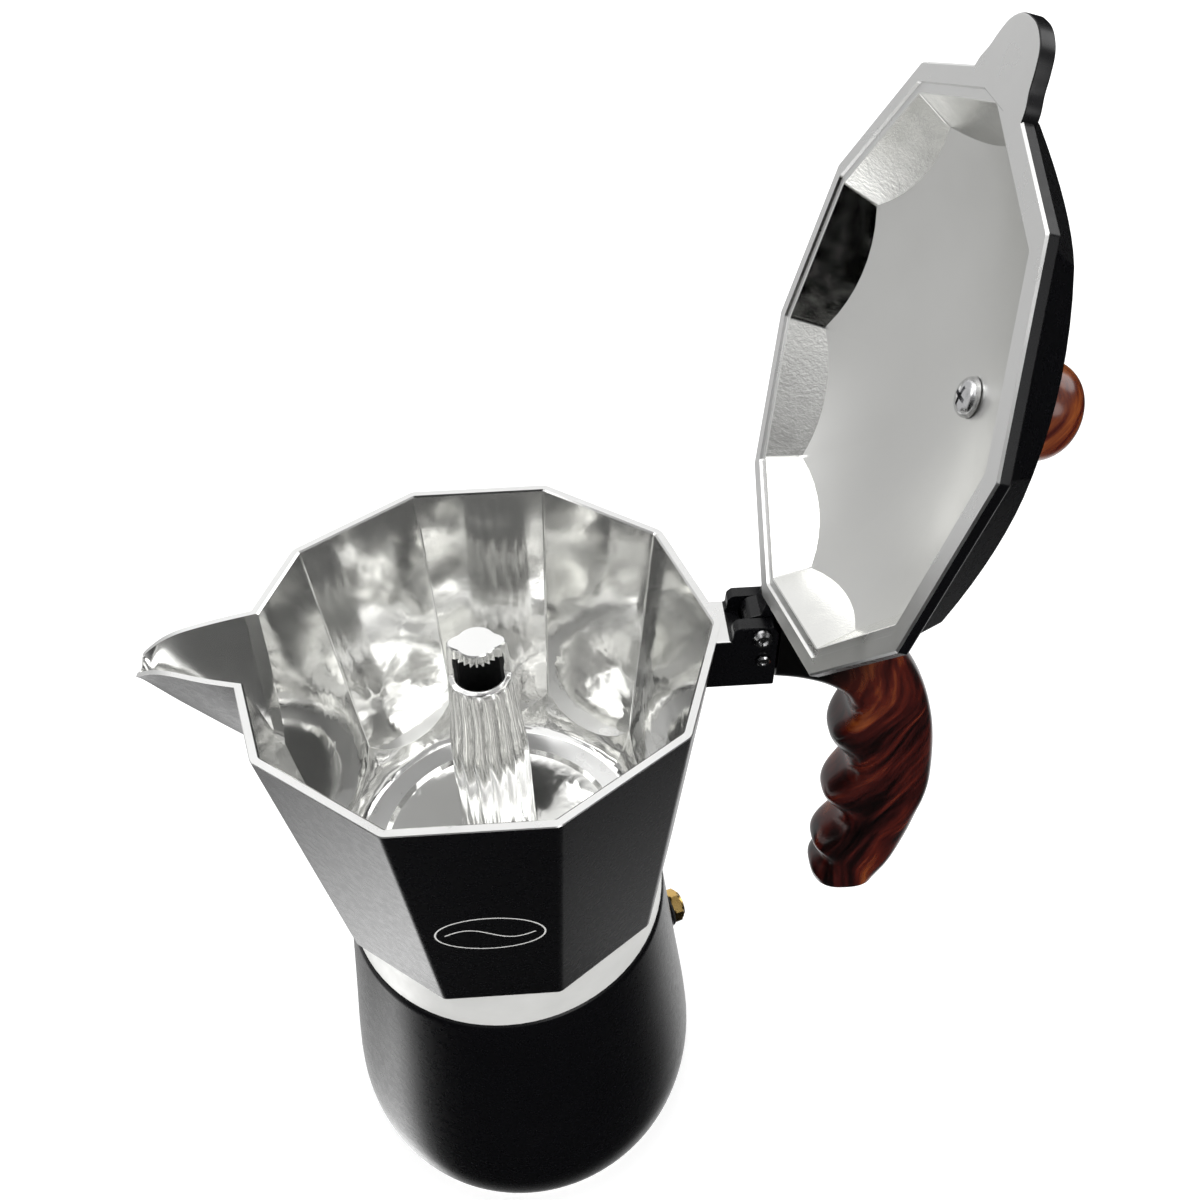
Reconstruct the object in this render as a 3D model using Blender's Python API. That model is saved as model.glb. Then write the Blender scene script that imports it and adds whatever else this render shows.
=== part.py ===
"""Stovetop moka pot, six-cup size, stored with its lid open.

Frame: metres, +Z up. The origin is the centre of the boiler's underside, +X points to the
handle and hinge, -X to the spout.

Parts: a bell-shaped boiler with its safety valve, the coffee funnel and strainer, a gasket
and filter plate, the ten-sided upper chamber with its riser column, a moulded handle, and a
domed ten-sided lid on a cross pin.
"""

import math

import bmesh
import bpy
from mathutils import Vector

MM = 0.001
GAP = 0.3 * MM                    # clearance between neighbouring solids

# Upper chamber: a tapered decagon with a vertex at the handle and one at the spout
SIDES = 10
COLUMNS_PER_SIDE = 4
RIM_Z = 184.1 * MM
RIM_R = 52.0 * MM                 # circumradius at the rim
BODY_Z = 107.3 * MM               # underside of the decagon
BODY_R = 43.1 * MM                # circumradius there
WALL = 2.1 * MM                   # measured along the vertex radius
FLOOR_Z = 109.0 * MM
FLOOR_UNDERSIDE_Z = 106.9 * MM
SKIRT_Z = 92.1 * MM               # lower edge of the threaded skirt
SKIRT_R = 40.6 * MM
SKIRT_BORE_R = 38.3 * MM
BAND_INNER_R = 30.0 * MM          # flat band on the chamber floor
BAND_OUTER_R = 36.0 * MM

# Boiler
NECK_Z = 91.8 * MM                # shoulder, where the neck starts
NECK_TOP_Z = 103.0 * MM
NECK_R = 37.9 * MM
NECK_BORE_R = 34.8 * MM
BOILER_WALL = 2.4 * MM

# Funnel, gasket and filter plate, stacked on the neck
FLANGE_R = 37.4 * MM
FLANGE_THICK = 0.8 * MM
BASKET_R = 34.3 * MM
BASKET_FLOOR_Z = 80.0 * MM
SHEET = 0.8 * MM
STEM_R = 5.2 * MM
STEM_LOW_Z = 9.0 * MM
GASKET_THICK = 2.2 * MM
GASKET_BORE_R = 28.6 * MM

# Riser column
COLUMN_TOP_Z = 182.2 * MM
COLUMN_BORE_R = 4.3 * MM
WINDOW_LOW_Z = 172.7 * MM
WINDOW_HIGH_Z = 178.8 * MM
WINDOW_HALF = 4.6 * MM

# Lid and its hinge
HINGE_X = 59.3 * MM
HINGE_Z = 185.4 * MM
OPEN_ANGLE = math.radians(105.0)
LIP_Z = RIM_Z + GAP               # lid's lower face when it is shut
LIP_R = 53.9 * MM
LIP_INNER_R = 49.2 * MM
LIP_THICK = 2.2 * MM
LID_WALL = 1.9 * MM
SKIRT_SPREAD = 3.1 * MM            # outer facets stand this far outside the inner ones
TAB_THICK = 2.6 * MM
DOME_R = 44.5 * MM                # dome radius where it meets the facet edges
DOME_EDGE_Z = 7.3 * MM
DOME_TOP_Z = 21.0 * MM
BARREL_R = 3.2 * MM
PIN_R = 1.2 * MM
KNUCKLE_HALF = 3.1 * MM
CHEEK_INNER = 3.4 * MM
CHEEK_OUTER = 6.4 * MM
LUG_START_X = 53.4 * MM           # raised part of the cheeks
LUG_END_X = 62.9 * MM
LUG_LOW_Z = 170.4 * MM
LUG_TOP_Z = 187.9 * MM
PIN_HEAD_R = 2.1 * MM
HANDLE_PIN_X = 60.0 * MM
HANDLE_PIN_Z = 178.4 * MM
TONGUE_TOP_Z = 181.2 * MM

# Handle moulding
NECK_HALF = 6.3 * MM
GRIP_HALF = 8.0 * MM
HANDLE_STATIONS = 60

# Safety valve, on a horizontal axis through the boiler wall
VALVE_AZIMUTH = math.radians(19.5)
VALVE_Z = 46.5 * MM
VALVE_FACE = 47.0 * MM            # spot face, measured from the pot's axis
VALVE_INNER_FACE = 43.2 * MM
VALVE_SHANK_R = 3.0 * MM
VALVE_HEAD_R = 4.9 * MM
VALVE_HEAD_THICK = 2.9 * MM
HEX = 6

# Lid knob, heights above the lid's lip plane
KNOB_LOW_Z = 24.4 * MM
KNOB_TOP_Z = 41.0 * MM
KNOB_R = 9.4 * MM
KNOB_BORE_R = 3.6 * MM
INSERT_TOP_Z = 33.0 * MM
SCREW_R = 1.9 * MM
SCREW_HOLE_R = 2.2 * MM


# ---------------------------------------------------------------- scene and materials

def clear_scene():
    for item in list(bpy.data.objects):
        bpy.data.objects.remove(item, do_unlink=True)


def make_material(name, colour, roughness, metallic):
    material = bpy.data.materials.new(name)
    material.use_nodes = True
    shader = material.node_tree.nodes["Principled BSDF"]
    shader.inputs["Base Color"].default_value = (*colour, 1.0)
    shader.inputs["Roughness"].default_value = roughness
    shader.inputs["Metallic"].default_value = metallic
    material.diffuse_color = (*colour, 1.0)
    return material


def make_axis(name, location, parent=None, rotation=(0.0, 0.0, 0.0)):
    axis = bpy.data.objects.new(name, None)
    bpy.context.scene.collection.objects.link(axis)
    axis.location = location
    axis.rotation_euler = rotation
    axis.parent = parent
    return axis


def make_object(name, mesh_data, material=None, parent=None, location=(0.0, 0.0, 0.0)):
    """Turn (points, faces) into an object with its faces pointing out."""
    points, faces = mesh_data
    mesh = bpy.data.meshes.new(name)
    mesh.from_pydata(points, [], faces)
    shape = bmesh.new()
    shape.from_mesh(mesh)
    bmesh.ops.recalc_face_normals(shape, faces=shape.faces)
    shape.to_mesh(mesh)
    shape.free()
    mesh.shade_smooth()
    mesh.set_sharp_from_angle(angle=math.radians(35))
    item = bpy.data.objects.new(name, mesh)
    bpy.context.scene.collection.objects.link(item)
    item.location = location
    item.parent = parent
    if material is None:
        item.hide_render = True
        item.display_type = 'WIRE'
    else:
        mesh.materials.append(material)
    return item


def combine(target, other, operation):
    """Join or cut the target with another closed object."""
    boolean = target.modifiers.new(operation.lower() + "_" + other.name, 'BOOLEAN')
    boolean.operation = operation
    boolean.solver = 'EXACT'
    boolean.object = other


# ---------------------------------------------------------------- mesh builders

def skin(rings, closed):
    """Skin equal-length rings; a closed skin joins the last ring to the first."""
    points = [point for ring in rings for point in ring]
    count = len(rings[0])
    faces = []
    spans = len(rings) if closed else len(rings) - 1
    for row in range(spans):
        low = row * count
        high = ((row + 1) % len(rings)) * count
        for column in range(count):
            nxt = (column + 1) % count
            faces.append((low + column, low + nxt, high + nxt, high + column))
    if not closed:
        faces.append(tuple(range(count)))
        faces.append(tuple(range((len(rings) - 1) * count, len(rings) * count)))
    return points, faces


def circle(radius, height, count):
    angles = [2 * math.pi * step / count for step in range(count)]
    return [(radius * math.cos(a), radius * math.sin(a), height) for a in angles]


def turned(profile, count, closed=False):
    """Turn (radius, height) points about Z; a closed profile gives a ring."""
    return skin([circle(radius, height, count) for radius, height in profile], closed)


def along_x(mesh_data):
    """Lay a turned shape over, so its +Z runs along +X."""
    points, faces = mesh_data
    return [(z, y, -x) for x, y, z in points], faces


def along_y(mesh_data):
    """Lay a turned shape over, so its +Z runs along +Y."""
    points, faces = mesh_data
    return [(x, z, -y) for x, y, z in points], faces


def prism(outline, low_y, high_y):
    """Extrude an (x, z) outline between two values of y."""
    rings = [[(x, y, z) for x, z in outline] for y in (low_y, high_y)]
    return skin(rings, False)


def box(low, high):
    outline = [(low[0], low[2]), (high[0], low[2]), (high[0], high[2]), (low[0], high[2])]
    return prism(outline, low[1], high[1])


def arc(centre, radius, start_deg, end_deg, steps):
    """Points on an arc in the x-z plane, angles from +X towards +Z."""
    points = []
    for step in range(steps + 1):
        angle = math.radians(start_deg + (end_deg - start_deg) * step / steps)
        points.append((centre[0] + radius * math.cos(angle), centre[1] + radius * math.sin(angle)))
    return points


def eased(knots, position):
    """Read a smooth curve through (position, value) knots, level at every knot."""
    for (start, first), (end, second) in zip(knots, knots[1:]):
        if position <= end:
            part = (position - start) / (end - start)
            return first + (second - first) * (1 - math.cos(math.pi * part)) / 2
    return knots[-1][1]


def spline(knots, samples):
    """Sample a Catmull-Rom curve through (x, z) knots."""
    padded = [knots[0]] + knots + [knots[-1]]
    result = []
    for index in range(len(knots) - 1):
        a, b, c, d = (Vector(point) for point in padded[index:index + 4])
        for step in range(samples):
            t = step / samples
            point = 0.5 * ((2 * b) + (c - a) * t + (2 * a - 5 * b + 4 * c - d) * t * t
                           + (3 * b - a - 3 * c + d) * t ** 3)
            result.append(tuple(point))
    result.append(tuple(knots[-1]))
    return result


def walk(points, count):
    """Place count points at equal steps along a polyline."""
    lengths = [0.0]
    for start, end in zip(points, points[1:]):
        lengths.append(lengths[-1] + math.dist(start, end))
    result = []
    for step in range(count):
        wanted = lengths[-1] * step / (count - 1)
        index = 0
        while index < len(points) - 2 and lengths[index + 1] < wanted:
            index += 1
        part = (wanted - lengths[index]) / (lengths[index + 1] - lengths[index])
        start, end = points[index], points[index + 1]
        result.append((start[0] + (end[0] - start[0]) * part, start[1] + (end[1] - start[1]) * part))
    return result


# ---------------------------------------------------------------- decagon sections

def polygon_factor(angle, sides):
    """Radius of a regular polygon's side at an angle, for a circumradius of 1."""
    half = math.pi / sides
    offset = (angle % (2 * half)) - half
    return math.cos(half) / math.cos(offset)


def faceted_ring(circumradius, height, round_radius=None):
    """A decagon ring, held inside a circle where one is given."""
    count = SIDES * COLUMNS_PER_SIDE
    points = []
    for step in range(count):
        angle = 2 * math.pi * step / count
        radius = circumradius * polygon_factor(angle, SIDES)
        if round_radius is not None:
            radius = min(radius, round_radius)
        points.append((radius * math.cos(angle), radius * math.sin(angle), height))
    return points


def body_circumradius(height):
    """Outer circumradius of the chamber at a height."""
    return BODY_R + (RIM_R - BODY_R) * (height - BODY_Z) / (RIM_Z - BODY_Z)


# ---------------------------------------------------------------- boiler

def boiler_outline():
    """Outer radius and height of the bell, bottom to top."""
    return [(45.4, 0.0), (46.8, 1.3), (48.6, 6.5), (49.5, 13.5), (49.5, 20.0), (48.7, 29.0),
            (47.5, 39.4), (45.0, 59.2), (42.6, 78.9), (41.2, 90.6), (40.4, 91.8)]


def build_boiler(material):
    outer = [(r * MM, z * MM) for r, z in boiler_outline()]
    outer += [(NECK_R, NECK_Z), (NECK_R, NECK_TOP_Z - 0.6 * MM), (NECK_R - 0.6 * MM, NECK_TOP_Z)]
    inner = [(NECK_BORE_R, NECK_TOP_Z), (NECK_BORE_R, 90.0 * MM)]
    inner += [(r * MM - BOILER_WALL, z * MM) for r, z in reversed(boiler_outline()[3:9])]
    inner += [(45.2 * MM, 6.0 * MM), (42.5 * MM, 3.2 * MM), (20.0 * MM, 3.2 * MM)]
    boiler = make_object("boiler", turned(outer + inner, 48), material)

    turn = (0.0, 0.0, VALVE_AZIMUTH)
    axis = make_axis("valve_axis", (0.0, 0.0, VALVE_Z), rotation=turn)
    pad = turned([(6.2 * MM, VALVE_INNER_FACE), (6.2 * MM, VALVE_FACE)], 24)
    combine(boiler, make_object("valve_pad_shape", along_x(pad), parent=axis), 'UNION')
    face = turned([(6.4 * MM, VALVE_FACE), (6.4 * MM, 53.0 * MM)], 24)
    combine(boiler, make_object("valve_face_cutter", along_x(face), parent=axis), 'DIFFERENCE')
    hole = turned([(VALVE_SHANK_R + GAP, 39.0 * MM), (VALVE_SHANK_R + GAP, 55.0 * MM)], 16)
    combine(boiler, make_object("valve_hole_cutter", along_x(hole), parent=axis), 'DIFFERENCE')
    return axis


# ---------------------------------------------------------------- safety valve

def valve_ring(name, low, high, outer_r, inner_r, material, axis, outer_sides):
    """A washer or nut on the valve axis, with a round bore."""
    count = 24
    rings = []
    for radius, distance, faceted in ((outer_r, low, True), (outer_r, high, True),
                                      (inner_r, high, False), (inner_r, low, False)):
        ring = []
        for step in range(count):
            angle = 2 * math.pi * step / count
            reach = radius
            if faceted and outer_sides:
                reach = radius * polygon_factor(angle, outer_sides)
            ring.append((distance, reach * math.cos(angle), reach * math.sin(angle)))
        rings.append(ring)
    return make_object(name, skin(rings, True), material, axis)


def build_valve(brass, steel, rubber, axis):
    washer_low = VALVE_FACE + GAP
    valve_ring("valve_washer", washer_low, washer_low + 0.8 * MM, 5.4 * MM, 3.4 * MM, rubber, axis, 0)
    nut_high = VALVE_INNER_FACE - GAP
    valve_ring("valve_nut", nut_high - 2.4 * MM, nut_high, 5.4 * MM, 3.3 * MM, brass, axis, HEX)

    shank_low = 39.6 * MM
    head_low = washer_low + 0.8 * MM + GAP
    head_high = head_low + VALVE_HEAD_THICK
    end = head_high + 0.7 * MM
    profile = [(2.0 * MM, shank_low), (VALVE_SHANK_R, shank_low), (VALVE_SHANK_R, head_low),
               (VALVE_HEAD_R, head_low), (VALVE_HEAD_R, head_high), (3.6 * MM, end), (1.0 * MM, end),
               (1.0 * MM, end - 1.6 * MM), (2.0 * MM, end - 1.6 * MM)]
    rings = []
    for radius, distance in profile:
        ring = []
        for step in range(24):
            angle = 2 * math.pi * step / 24
            reach = radius
            if radius == VALVE_HEAD_R:
                reach = radius * polygon_factor(angle, HEX)
            ring.append((distance, reach * math.cos(angle), reach * math.sin(angle)))
        rings.append(ring)
    make_object("valve_body", skin(rings, True), brass, axis)

    seat = [(0.7 * MM, 39.9 * MM), (1.7 * MM, 39.9 * MM), (1.7 * MM, 41.1 * MM), (0.7 * MM, 41.1 * MM)]
    make_object("valve_seat", along_x(turned(seat, 16, True)), steel, axis)
    pin = [(0.5 * MM, 41.4 * MM), (1.5 * MM, 41.8 * MM), (1.5 * MM, 42.8 * MM), (0.6 * MM, 42.8 * MM),
           (0.6 * MM, end + 0.2 * MM), (0.35 * MM, end + 0.5 * MM)]
    make_object("valve_pin", along_x(turned(pin, 16)), brass, axis)
    build_valve_spring(43.3 * MM, end - 2.1 * MM, steel, axis)


def build_valve_spring(low, high, material, axis):
    """A wire coil round the pin's stem."""
    turns = 5
    steps = 12
    coil_r = 1.3 * MM
    curve = bpy.data.curves.new("valve_spring", 'CURVE')
    curve.dimensions = '3D'
    curve.bevel_depth = 0.2 * MM
    curve.bevel_resolution = 0
    curve.use_fill_caps = True
    line = curve.splines.new('POLY')
    total = turns * steps
    line.points.add(total)
    for step in range(total + 1):
        angle = 2 * math.pi * step / steps
        distance = low + (high - low) * step / total
        line.points[step].co = (distance, coil_r * math.cos(angle), coil_r * math.sin(angle), 1.0)
    curve.materials.append(material)
    spring = bpy.data.objects.new("valve_spring", curve)
    bpy.context.scene.collection.objects.link(spring)
    spring.parent = axis


# ---------------------------------------------------------------- funnel, gasket, plate

def hole_places(pitch, rows):
    """Centres of a hexagonal pattern of holes."""
    places = []
    for row in range(-rows, rows + 1):
        for column in range(-rows, rows + 1):
            if abs(row + column) <= rows:
                x = pitch * (column + row / 2)
                y = pitch * row * math.sqrt(3) / 2
                places.append((x, y))
    return places


def hole_cutters(name, places, radius, low, high):
    """One object of separate round cutters."""
    points = []
    faces = []
    for x, y in places:
        ring_points, ring_faces = turned([(radius, low), (radius, high)], 8)
        start = len(points)
        points += [(px + x, py + y, pz) for px, py, pz in ring_points]
        faces += [tuple(index + start for index in face) for face in ring_faces]
    return make_object(name, (points, faces))


def build_funnel(material):
    flange_z = NECK_TOP_Z + GAP
    cone_z = 66.0 * MM
    outer = [(FLANGE_R, flange_z), (FLANGE_R, flange_z + FLANGE_THICK),
             (BASKET_R - SHEET, flange_z + FLANGE_THICK), (BASKET_R - SHEET, BASKET_FLOOR_Z),
             (STEM_R + GAP, cone_z + 1.2 * MM), (STEM_R + GAP, cone_z - 6.0 * MM),
             (STEM_R + GAP + SHEET, cone_z - 6.0 * MM), (STEM_R + GAP + SHEET, cone_z),
             (BASKET_R, BASKET_FLOOR_Z - 0.5 * MM), (BASKET_R, flange_z)]
    make_object("funnel_basket", turned(outer, 40, True), material)
    stem = [(STEM_R, STEM_LOW_Z), (STEM_R, cone_z), (STEM_R - SHEET, cone_z), (STEM_R - SHEET, STEM_LOW_Z)]
    make_object("funnel_stem", turned(stem, 24, True), material)

    plate_z = BASKET_FLOOR_Z + GAP
    plate_r = BASKET_R - SHEET - GAP
    plate = turned([(plate_r, plate_z), (plate_r, plate_z + SHEET)], 40)
    strainer = make_object("funnel_strainer", plate, material)
    cutters = hole_cutters("strainer_holes", hole_places(9.0 * MM, 2), 1.2 * MM,
                           plate_z - 1.0 * MM, plate_z + 2.0 * MM)
    combine(strainer, cutters, 'DIFFERENCE')


def build_seal(rubber, aluminium, rise_axis):
    low = NECK_TOP_Z + 2 * GAP + FLANGE_THICK
    ring = [(GASKET_BORE_R, low), (SKIRT_BORE_R - GAP, low), (SKIRT_BORE_R - GAP, low + GASKET_THICK),
            (GASKET_BORE_R, low + GASKET_THICK)]
    local = [(radius, height - rise_axis.location.z) for radius, height in ring]
    make_object("gasket", turned(local, 40, True), rubber, rise_axis)

    plate_r = GASKET_BORE_R - GAP
    base = low + 0.6 * MM - rise_axis.location.z
    profile = [(plate_r, base), (plate_r, base + 1.4 * MM), (plate_r - SHEET, base + 1.4 * MM),
               (plate_r - SHEET, base + SHEET)]
    plate = make_object("filter_plate", turned(profile, 40), aluminium, rise_axis)
    cutters = hole_cutters("plate_holes", hole_places(9.0 * MM, 2), 1.2 * MM,
                           base - 1.0 * MM, base + 2.0 * MM)
    cutters.parent = rise_axis
    combine(plate, cutters, 'DIFFERENCE')


# ---------------------------------------------------------------- upper chamber

def spout_sections():
    """Distance out, half width at the lips, lip height and keel height of the spout."""
    return [(40.0, 12.9, 184.1, 141.2), (48.5, 11.0, 184.1, 150.4), (55.2, 9.2, 184.1, 157.6),
            (61.9, 6.9, 184.1, 165.3), (66.0, 5.4, 183.3, 170.2), (69.2, 4.2, 181.6, 175.0),
            (70.4, 3.6, 180.8, 179.0)]


def spout_section_ring(distance, half_width, lip, keel, top):
    """A rounded V, closed above its lips at the given height."""
    steps = 8
    ring = []
    for step in range(steps + 1):
        across = -1 + 2 * step / steps
        depth = (lip - keel) * abs(across) ** 1.3
        ring.append((-distance * MM, across * half_width * MM, (keel + depth) * MM))
    ring.append((-distance * MM, half_width * MM, top * MM + 0.01 * MM))
    ring.append((-distance * MM, -half_width * MM, top * MM + 0.01 * MM))
    return ring


def spout_shape():
    rings = [spout_section_ring(x, w, lip - 0.02, keel, lip - 0.02) for x, w, lip, keel in spout_sections()]
    return skin(rings, False)


def spout_channel():
    """The pouring channel, cut through the wall and open at the tip."""
    wall = 1.9
    rings = []
    for x, w, lip, keel in spout_sections():
        thickness = min(4.2, 1.0 + (lip - keel) * 0.35)
        floor = min(keel + thickness, lip - 1.2)
        rings.append(spout_section_ring(x, max(w - wall, 2.4), lip, floor, 192.0))
    tip = spout_sections()[-1]
    rings.append(spout_section_ring(tip[0] + 2.5, 2.4, tip[2], tip[2] - 1.0, 192.0))
    return skin(rings, False)


def cavity_shape():
    """Inside of the chamber: flat facets above, a round bowl below."""
    bowl = [(BAND_OUTER_R, FLOOR_Z), (37.6 * MM, FLOOR_Z + 0.9 * MM), (39.4 * MM, 112.4 * MM),
            (40.9 * MM, 115.6 * MM), (42.0 * MM, 118.6 * MM), (42.9 * MM, 122.0 * MM)]
    centre_z = FLOOR_Z - 0.5 * MM
    rings = [faceted_ring(12.0 * MM, centre_z, 11.0 * MM),
             faceted_ring(40.0 * MM, centre_z, BAND_INNER_R - 0.8 * MM),
             faceted_ring(40.0 * MM, FLOOR_Z, BAND_INNER_R)]
    for radius, height in bowl:
        rings.append(faceted_ring(body_circumradius(height) - WALL, height, radius))
    top = RIM_Z + 6.0 * MM
    rings.append(faceted_ring(body_circumradius(top) - WALL, top))
    return skin(rings, False)


def lug_outline():
    """Side view of the hinge cheeks, from the chamber wall to the flat-topped end."""
    shoulder_z = RIM_Z - 0.2 * MM
    chamfer = 1.0 * MM
    return [(44.0 * MM, LUG_LOW_Z), (LUG_END_X, LUG_LOW_Z), (LUG_END_X, LUG_TOP_Z - 2.2 * MM),
            (LUG_END_X - 1.4 * MM, LUG_TOP_Z), (LUG_START_X + chamfer, LUG_TOP_Z),
            (LUG_START_X, LUG_TOP_Z - chamfer), (LUG_START_X - 0.2 * MM, shoulder_z), (44.0 * MM, shoulder_z)]


def slot_outline():
    """Gap between the cheeks: low for the handle's tongue, open above for the lid's knuckle."""
    low = LUG_LOW_Z + 1.2 * MM
    tongue_gap_z = 181.6 * MM
    web_floor_z = RIM_Z - 0.5 * MM
    front_x = 52.5 * MM
    barrel_x = 55.8 * MM
    end_x = 66.0 * MM
    top_z = 195.0 * MM
    web_x = LUG_START_X - 0.6 * MM
    return [(front_x, low), (end_x, low), (end_x, top_z), (web_x, top_z), (web_x, web_floor_z),
            (barrel_x, web_floor_z), (barrel_x, tongue_gap_z), (front_x, tongue_gap_z)]


def build_chamber(material, axis):
    skirt = [circle(SKIRT_R, SKIRT_Z, SIDES * COLUMNS_PER_SIDE),
             circle(SKIRT_R, BODY_Z, SIDES * COLUMNS_PER_SIDE)]
    rings = skirt + [faceted_ring(BODY_R - 0.4 * MM, BODY_Z), faceted_ring(BODY_R + 0.1 * MM, BODY_Z + 0.5 * MM),
                     faceted_ring(RIM_R, RIM_Z)]
    chamber = make_object("upper_chamber", skin(rings, False), material, axis)
    combine(chamber, make_object("spout_shape", spout_shape(), parent=axis), 'UNION')
    lug = make_object("lug_shape", prism(lug_outline(), -CHEEK_OUTER, CHEEK_OUTER), parent=axis)
    combine(chamber, lug, 'UNION')

    slot = prism(slot_outline(), -CHEEK_INNER, CHEEK_INNER)
    combine(chamber, make_object("lug_slot_cutter", slot, parent=axis), 'DIFFERENCE')
    combine(chamber, make_object("cavity_cutter", cavity_shape(), parent=axis), 'DIFFERENCE')
    combine(chamber, make_object("spout_cutter", spout_channel(), parent=axis), 'DIFFERENCE')
    bore = turned([(SKIRT_BORE_R, SKIRT_Z - 2.0 * MM), (SKIRT_BORE_R, FLOOR_UNDERSIDE_Z)], 40)
    combine(chamber, make_object("skirt_cutter", bore, parent=axis), 'DIFFERENCE')
    port = turned([(3.8 * MM, 100.0 * MM), (3.8 * MM, 115.0 * MM)], 16)
    combine(chamber, make_object("port_cutter", port, parent=axis), 'DIFFERENCE')
    for name, x, z in (("hinge_hole", HINGE_X, HINGE_Z), ("handle_pin_hole", HANDLE_PIN_X, HANDLE_PIN_Z)):
        hole = along_y(turned([(PIN_R + GAP, -10.0 * MM), (PIN_R + GAP, 10.0 * MM)], 16))
        cutter = make_object(name, hole, parent=axis, location=(x, 0.0, z))
        combine(chamber, cutter, 'DIFFERENCE')


def build_column(material, axis):
    low = FLOOR_Z - 0.5 * MM + GAP
    profile = [(10.6 * MM, low), (9.6 * MM, low + 2.5 * MM), (9.1 * MM, 120.0 * MM), (8.9 * MM, 148.0 * MM),
               (8.0 * MM, 158.0 * MM), (7.1 * MM, 170.0 * MM), (6.5 * MM, 178.0 * MM),
               (6.3 * MM, 181.4 * MM), (5.6 * MM, COLUMN_TOP_Z)]
    column = make_object("column", turned(profile, 24), material, axis)
    bore = turned([(COLUMN_BORE_R, low - 2.0 * MM), (COLUMN_BORE_R, WINDOW_HIGH_Z - 0.4 * MM)], 16)
    combine(column, make_object("column_bore_cutter", bore, parent=axis), 'DIFFERENCE')
    window = box((-WINDOW_HALF, -12.0 * MM, WINDOW_LOW_Z), (WINDOW_HALF, 12.0 * MM, WINDOW_HIGH_Z))
    combine(column, make_object("column_window_cutter", window, parent=axis), 'DIFFERENCE')
    for side in (-1, 1):
        near = 4.9 * MM * side
        far = 9.0 * MM * side
        flat = box((-9.0 * MM, min(near, far), WINDOW_HIGH_Z - 0.1 * MM), (9.0 * MM, max(near, far), 186.0 * MM))
        name = "column_flat_near" if side < 0 else "column_flat_far"
        combine(column, make_object(name, flat, parent=axis), 'DIFFERENCE')


def build_cross_pin(name, x, z, head_r, head_thick, material, axis):
    """A steel pin through both cheeks, with a domed head and a peened end."""
    face = CHEEK_OUTER + GAP
    body = [(PIN_R - 0.3 * MM, -face - 0.3 * MM), (PIN_R, -face), (PIN_R, face), (head_r, face),
            (head_r, face + head_thick * 0.5), (head_r * 0.6, face + head_thick)]
    make_object(name, along_y(turned(body, 16)), material, axis, (x, 0.0, z))


# ---------------------------------------------------------------- handle

def handle_edges(count):
    """Matching points along the finger side and the outer side of the handle."""
    neck = [(63.2, 171.6), (69.0, 170.3), (75.0, 167.6), (79.6, 163.2)]
    grip_top = 157.0
    grip_end = 91.0
    fingers = [(-157.0, 82.0), (-147.8, 78.7), (-136.8, 84.4), (-125.1, 79.7), (-115.9, 85.3),
               (-104.2, 79.4), (-98.2, 82.2), (-92.3, 80.1), (-91.0, 80.4)]
    inner = spline(neck + [(fingers[0][1], grip_top)], 5)
    steps = 56
    for step in range(1, steps + 1):
        height = grip_top + (grip_end - grip_top) * step / steps
        inner.append((eased(fingers, -height), height))
    outer = spline([(63.2, 188.8), (70.0, 188.2), (82.0, 182.4), (94.8, 169.1), (101.8, 152.2),
                    (105.2, 131.2), (104.2, 118.0), (102.9, 108.0), (100.4, 98.5), (97.2, 91.0)], 6)
    return walk(inner, count), walk(outer, count)


def handle_section(inner, outer, half_thick, squareness, count):
    """A rounded cross-section between two edge points."""
    middle = ((inner[0] + outer[0]) / 2, (inner[1] + outer[1]) / 2)
    reach = ((outer[0] - inner[0]) / 2, (outer[1] - inner[1]) / 2)
    ring = []
    for step in range(count):
        angle = 2 * math.pi * step / count
        along = math.copysign(abs(math.cos(angle)) ** (2 / squareness), math.cos(angle))
        across = math.copysign(abs(math.sin(angle)) ** (2 / squareness), math.sin(angle))
        ring.append(((middle[0] + reach[0] * along) * MM, half_thick * across,
                     (middle[1] + reach[1] * along) * MM))
    return ring


def handle_shape(stations, count):
    """The whole moulding: square at the neck, oval in the grip, rounded at its end."""
    inner, outer = handle_edges(stations)
    rings = []
    for index, (low, high) in enumerate(zip(inner, outer)):
        part = index / (stations - 1)
        squareness = 7.0 - 4.3 * min(1.0, part / 0.25)
        thick = NECK_HALF + (GRIP_HALF - NECK_HALF) * min(1.0, part / 0.35)
        rings.append(handle_section(low, high, thick, squareness, count))
    for drop, shrink in ((1.4, 0.9), (2.2, 0.66), (2.5, 0.2)):
        low, high = inner[-1], outer[-1]
        middle = ((low[0] + high[0]) / 2, (low[1] + high[1]) / 2 - drop)
        ends = [(middle[0] + (point[0] - (low[0] + high[0]) / 2) * shrink,
                 middle[1] + (point[1] - (low[1] + high[1]) / 2) * shrink) for point in (low, high)]
        rings.append(handle_section(ends[0], ends[1], GRIP_HALF * shrink, 2.7, count))
    return skin(rings, False)


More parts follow.
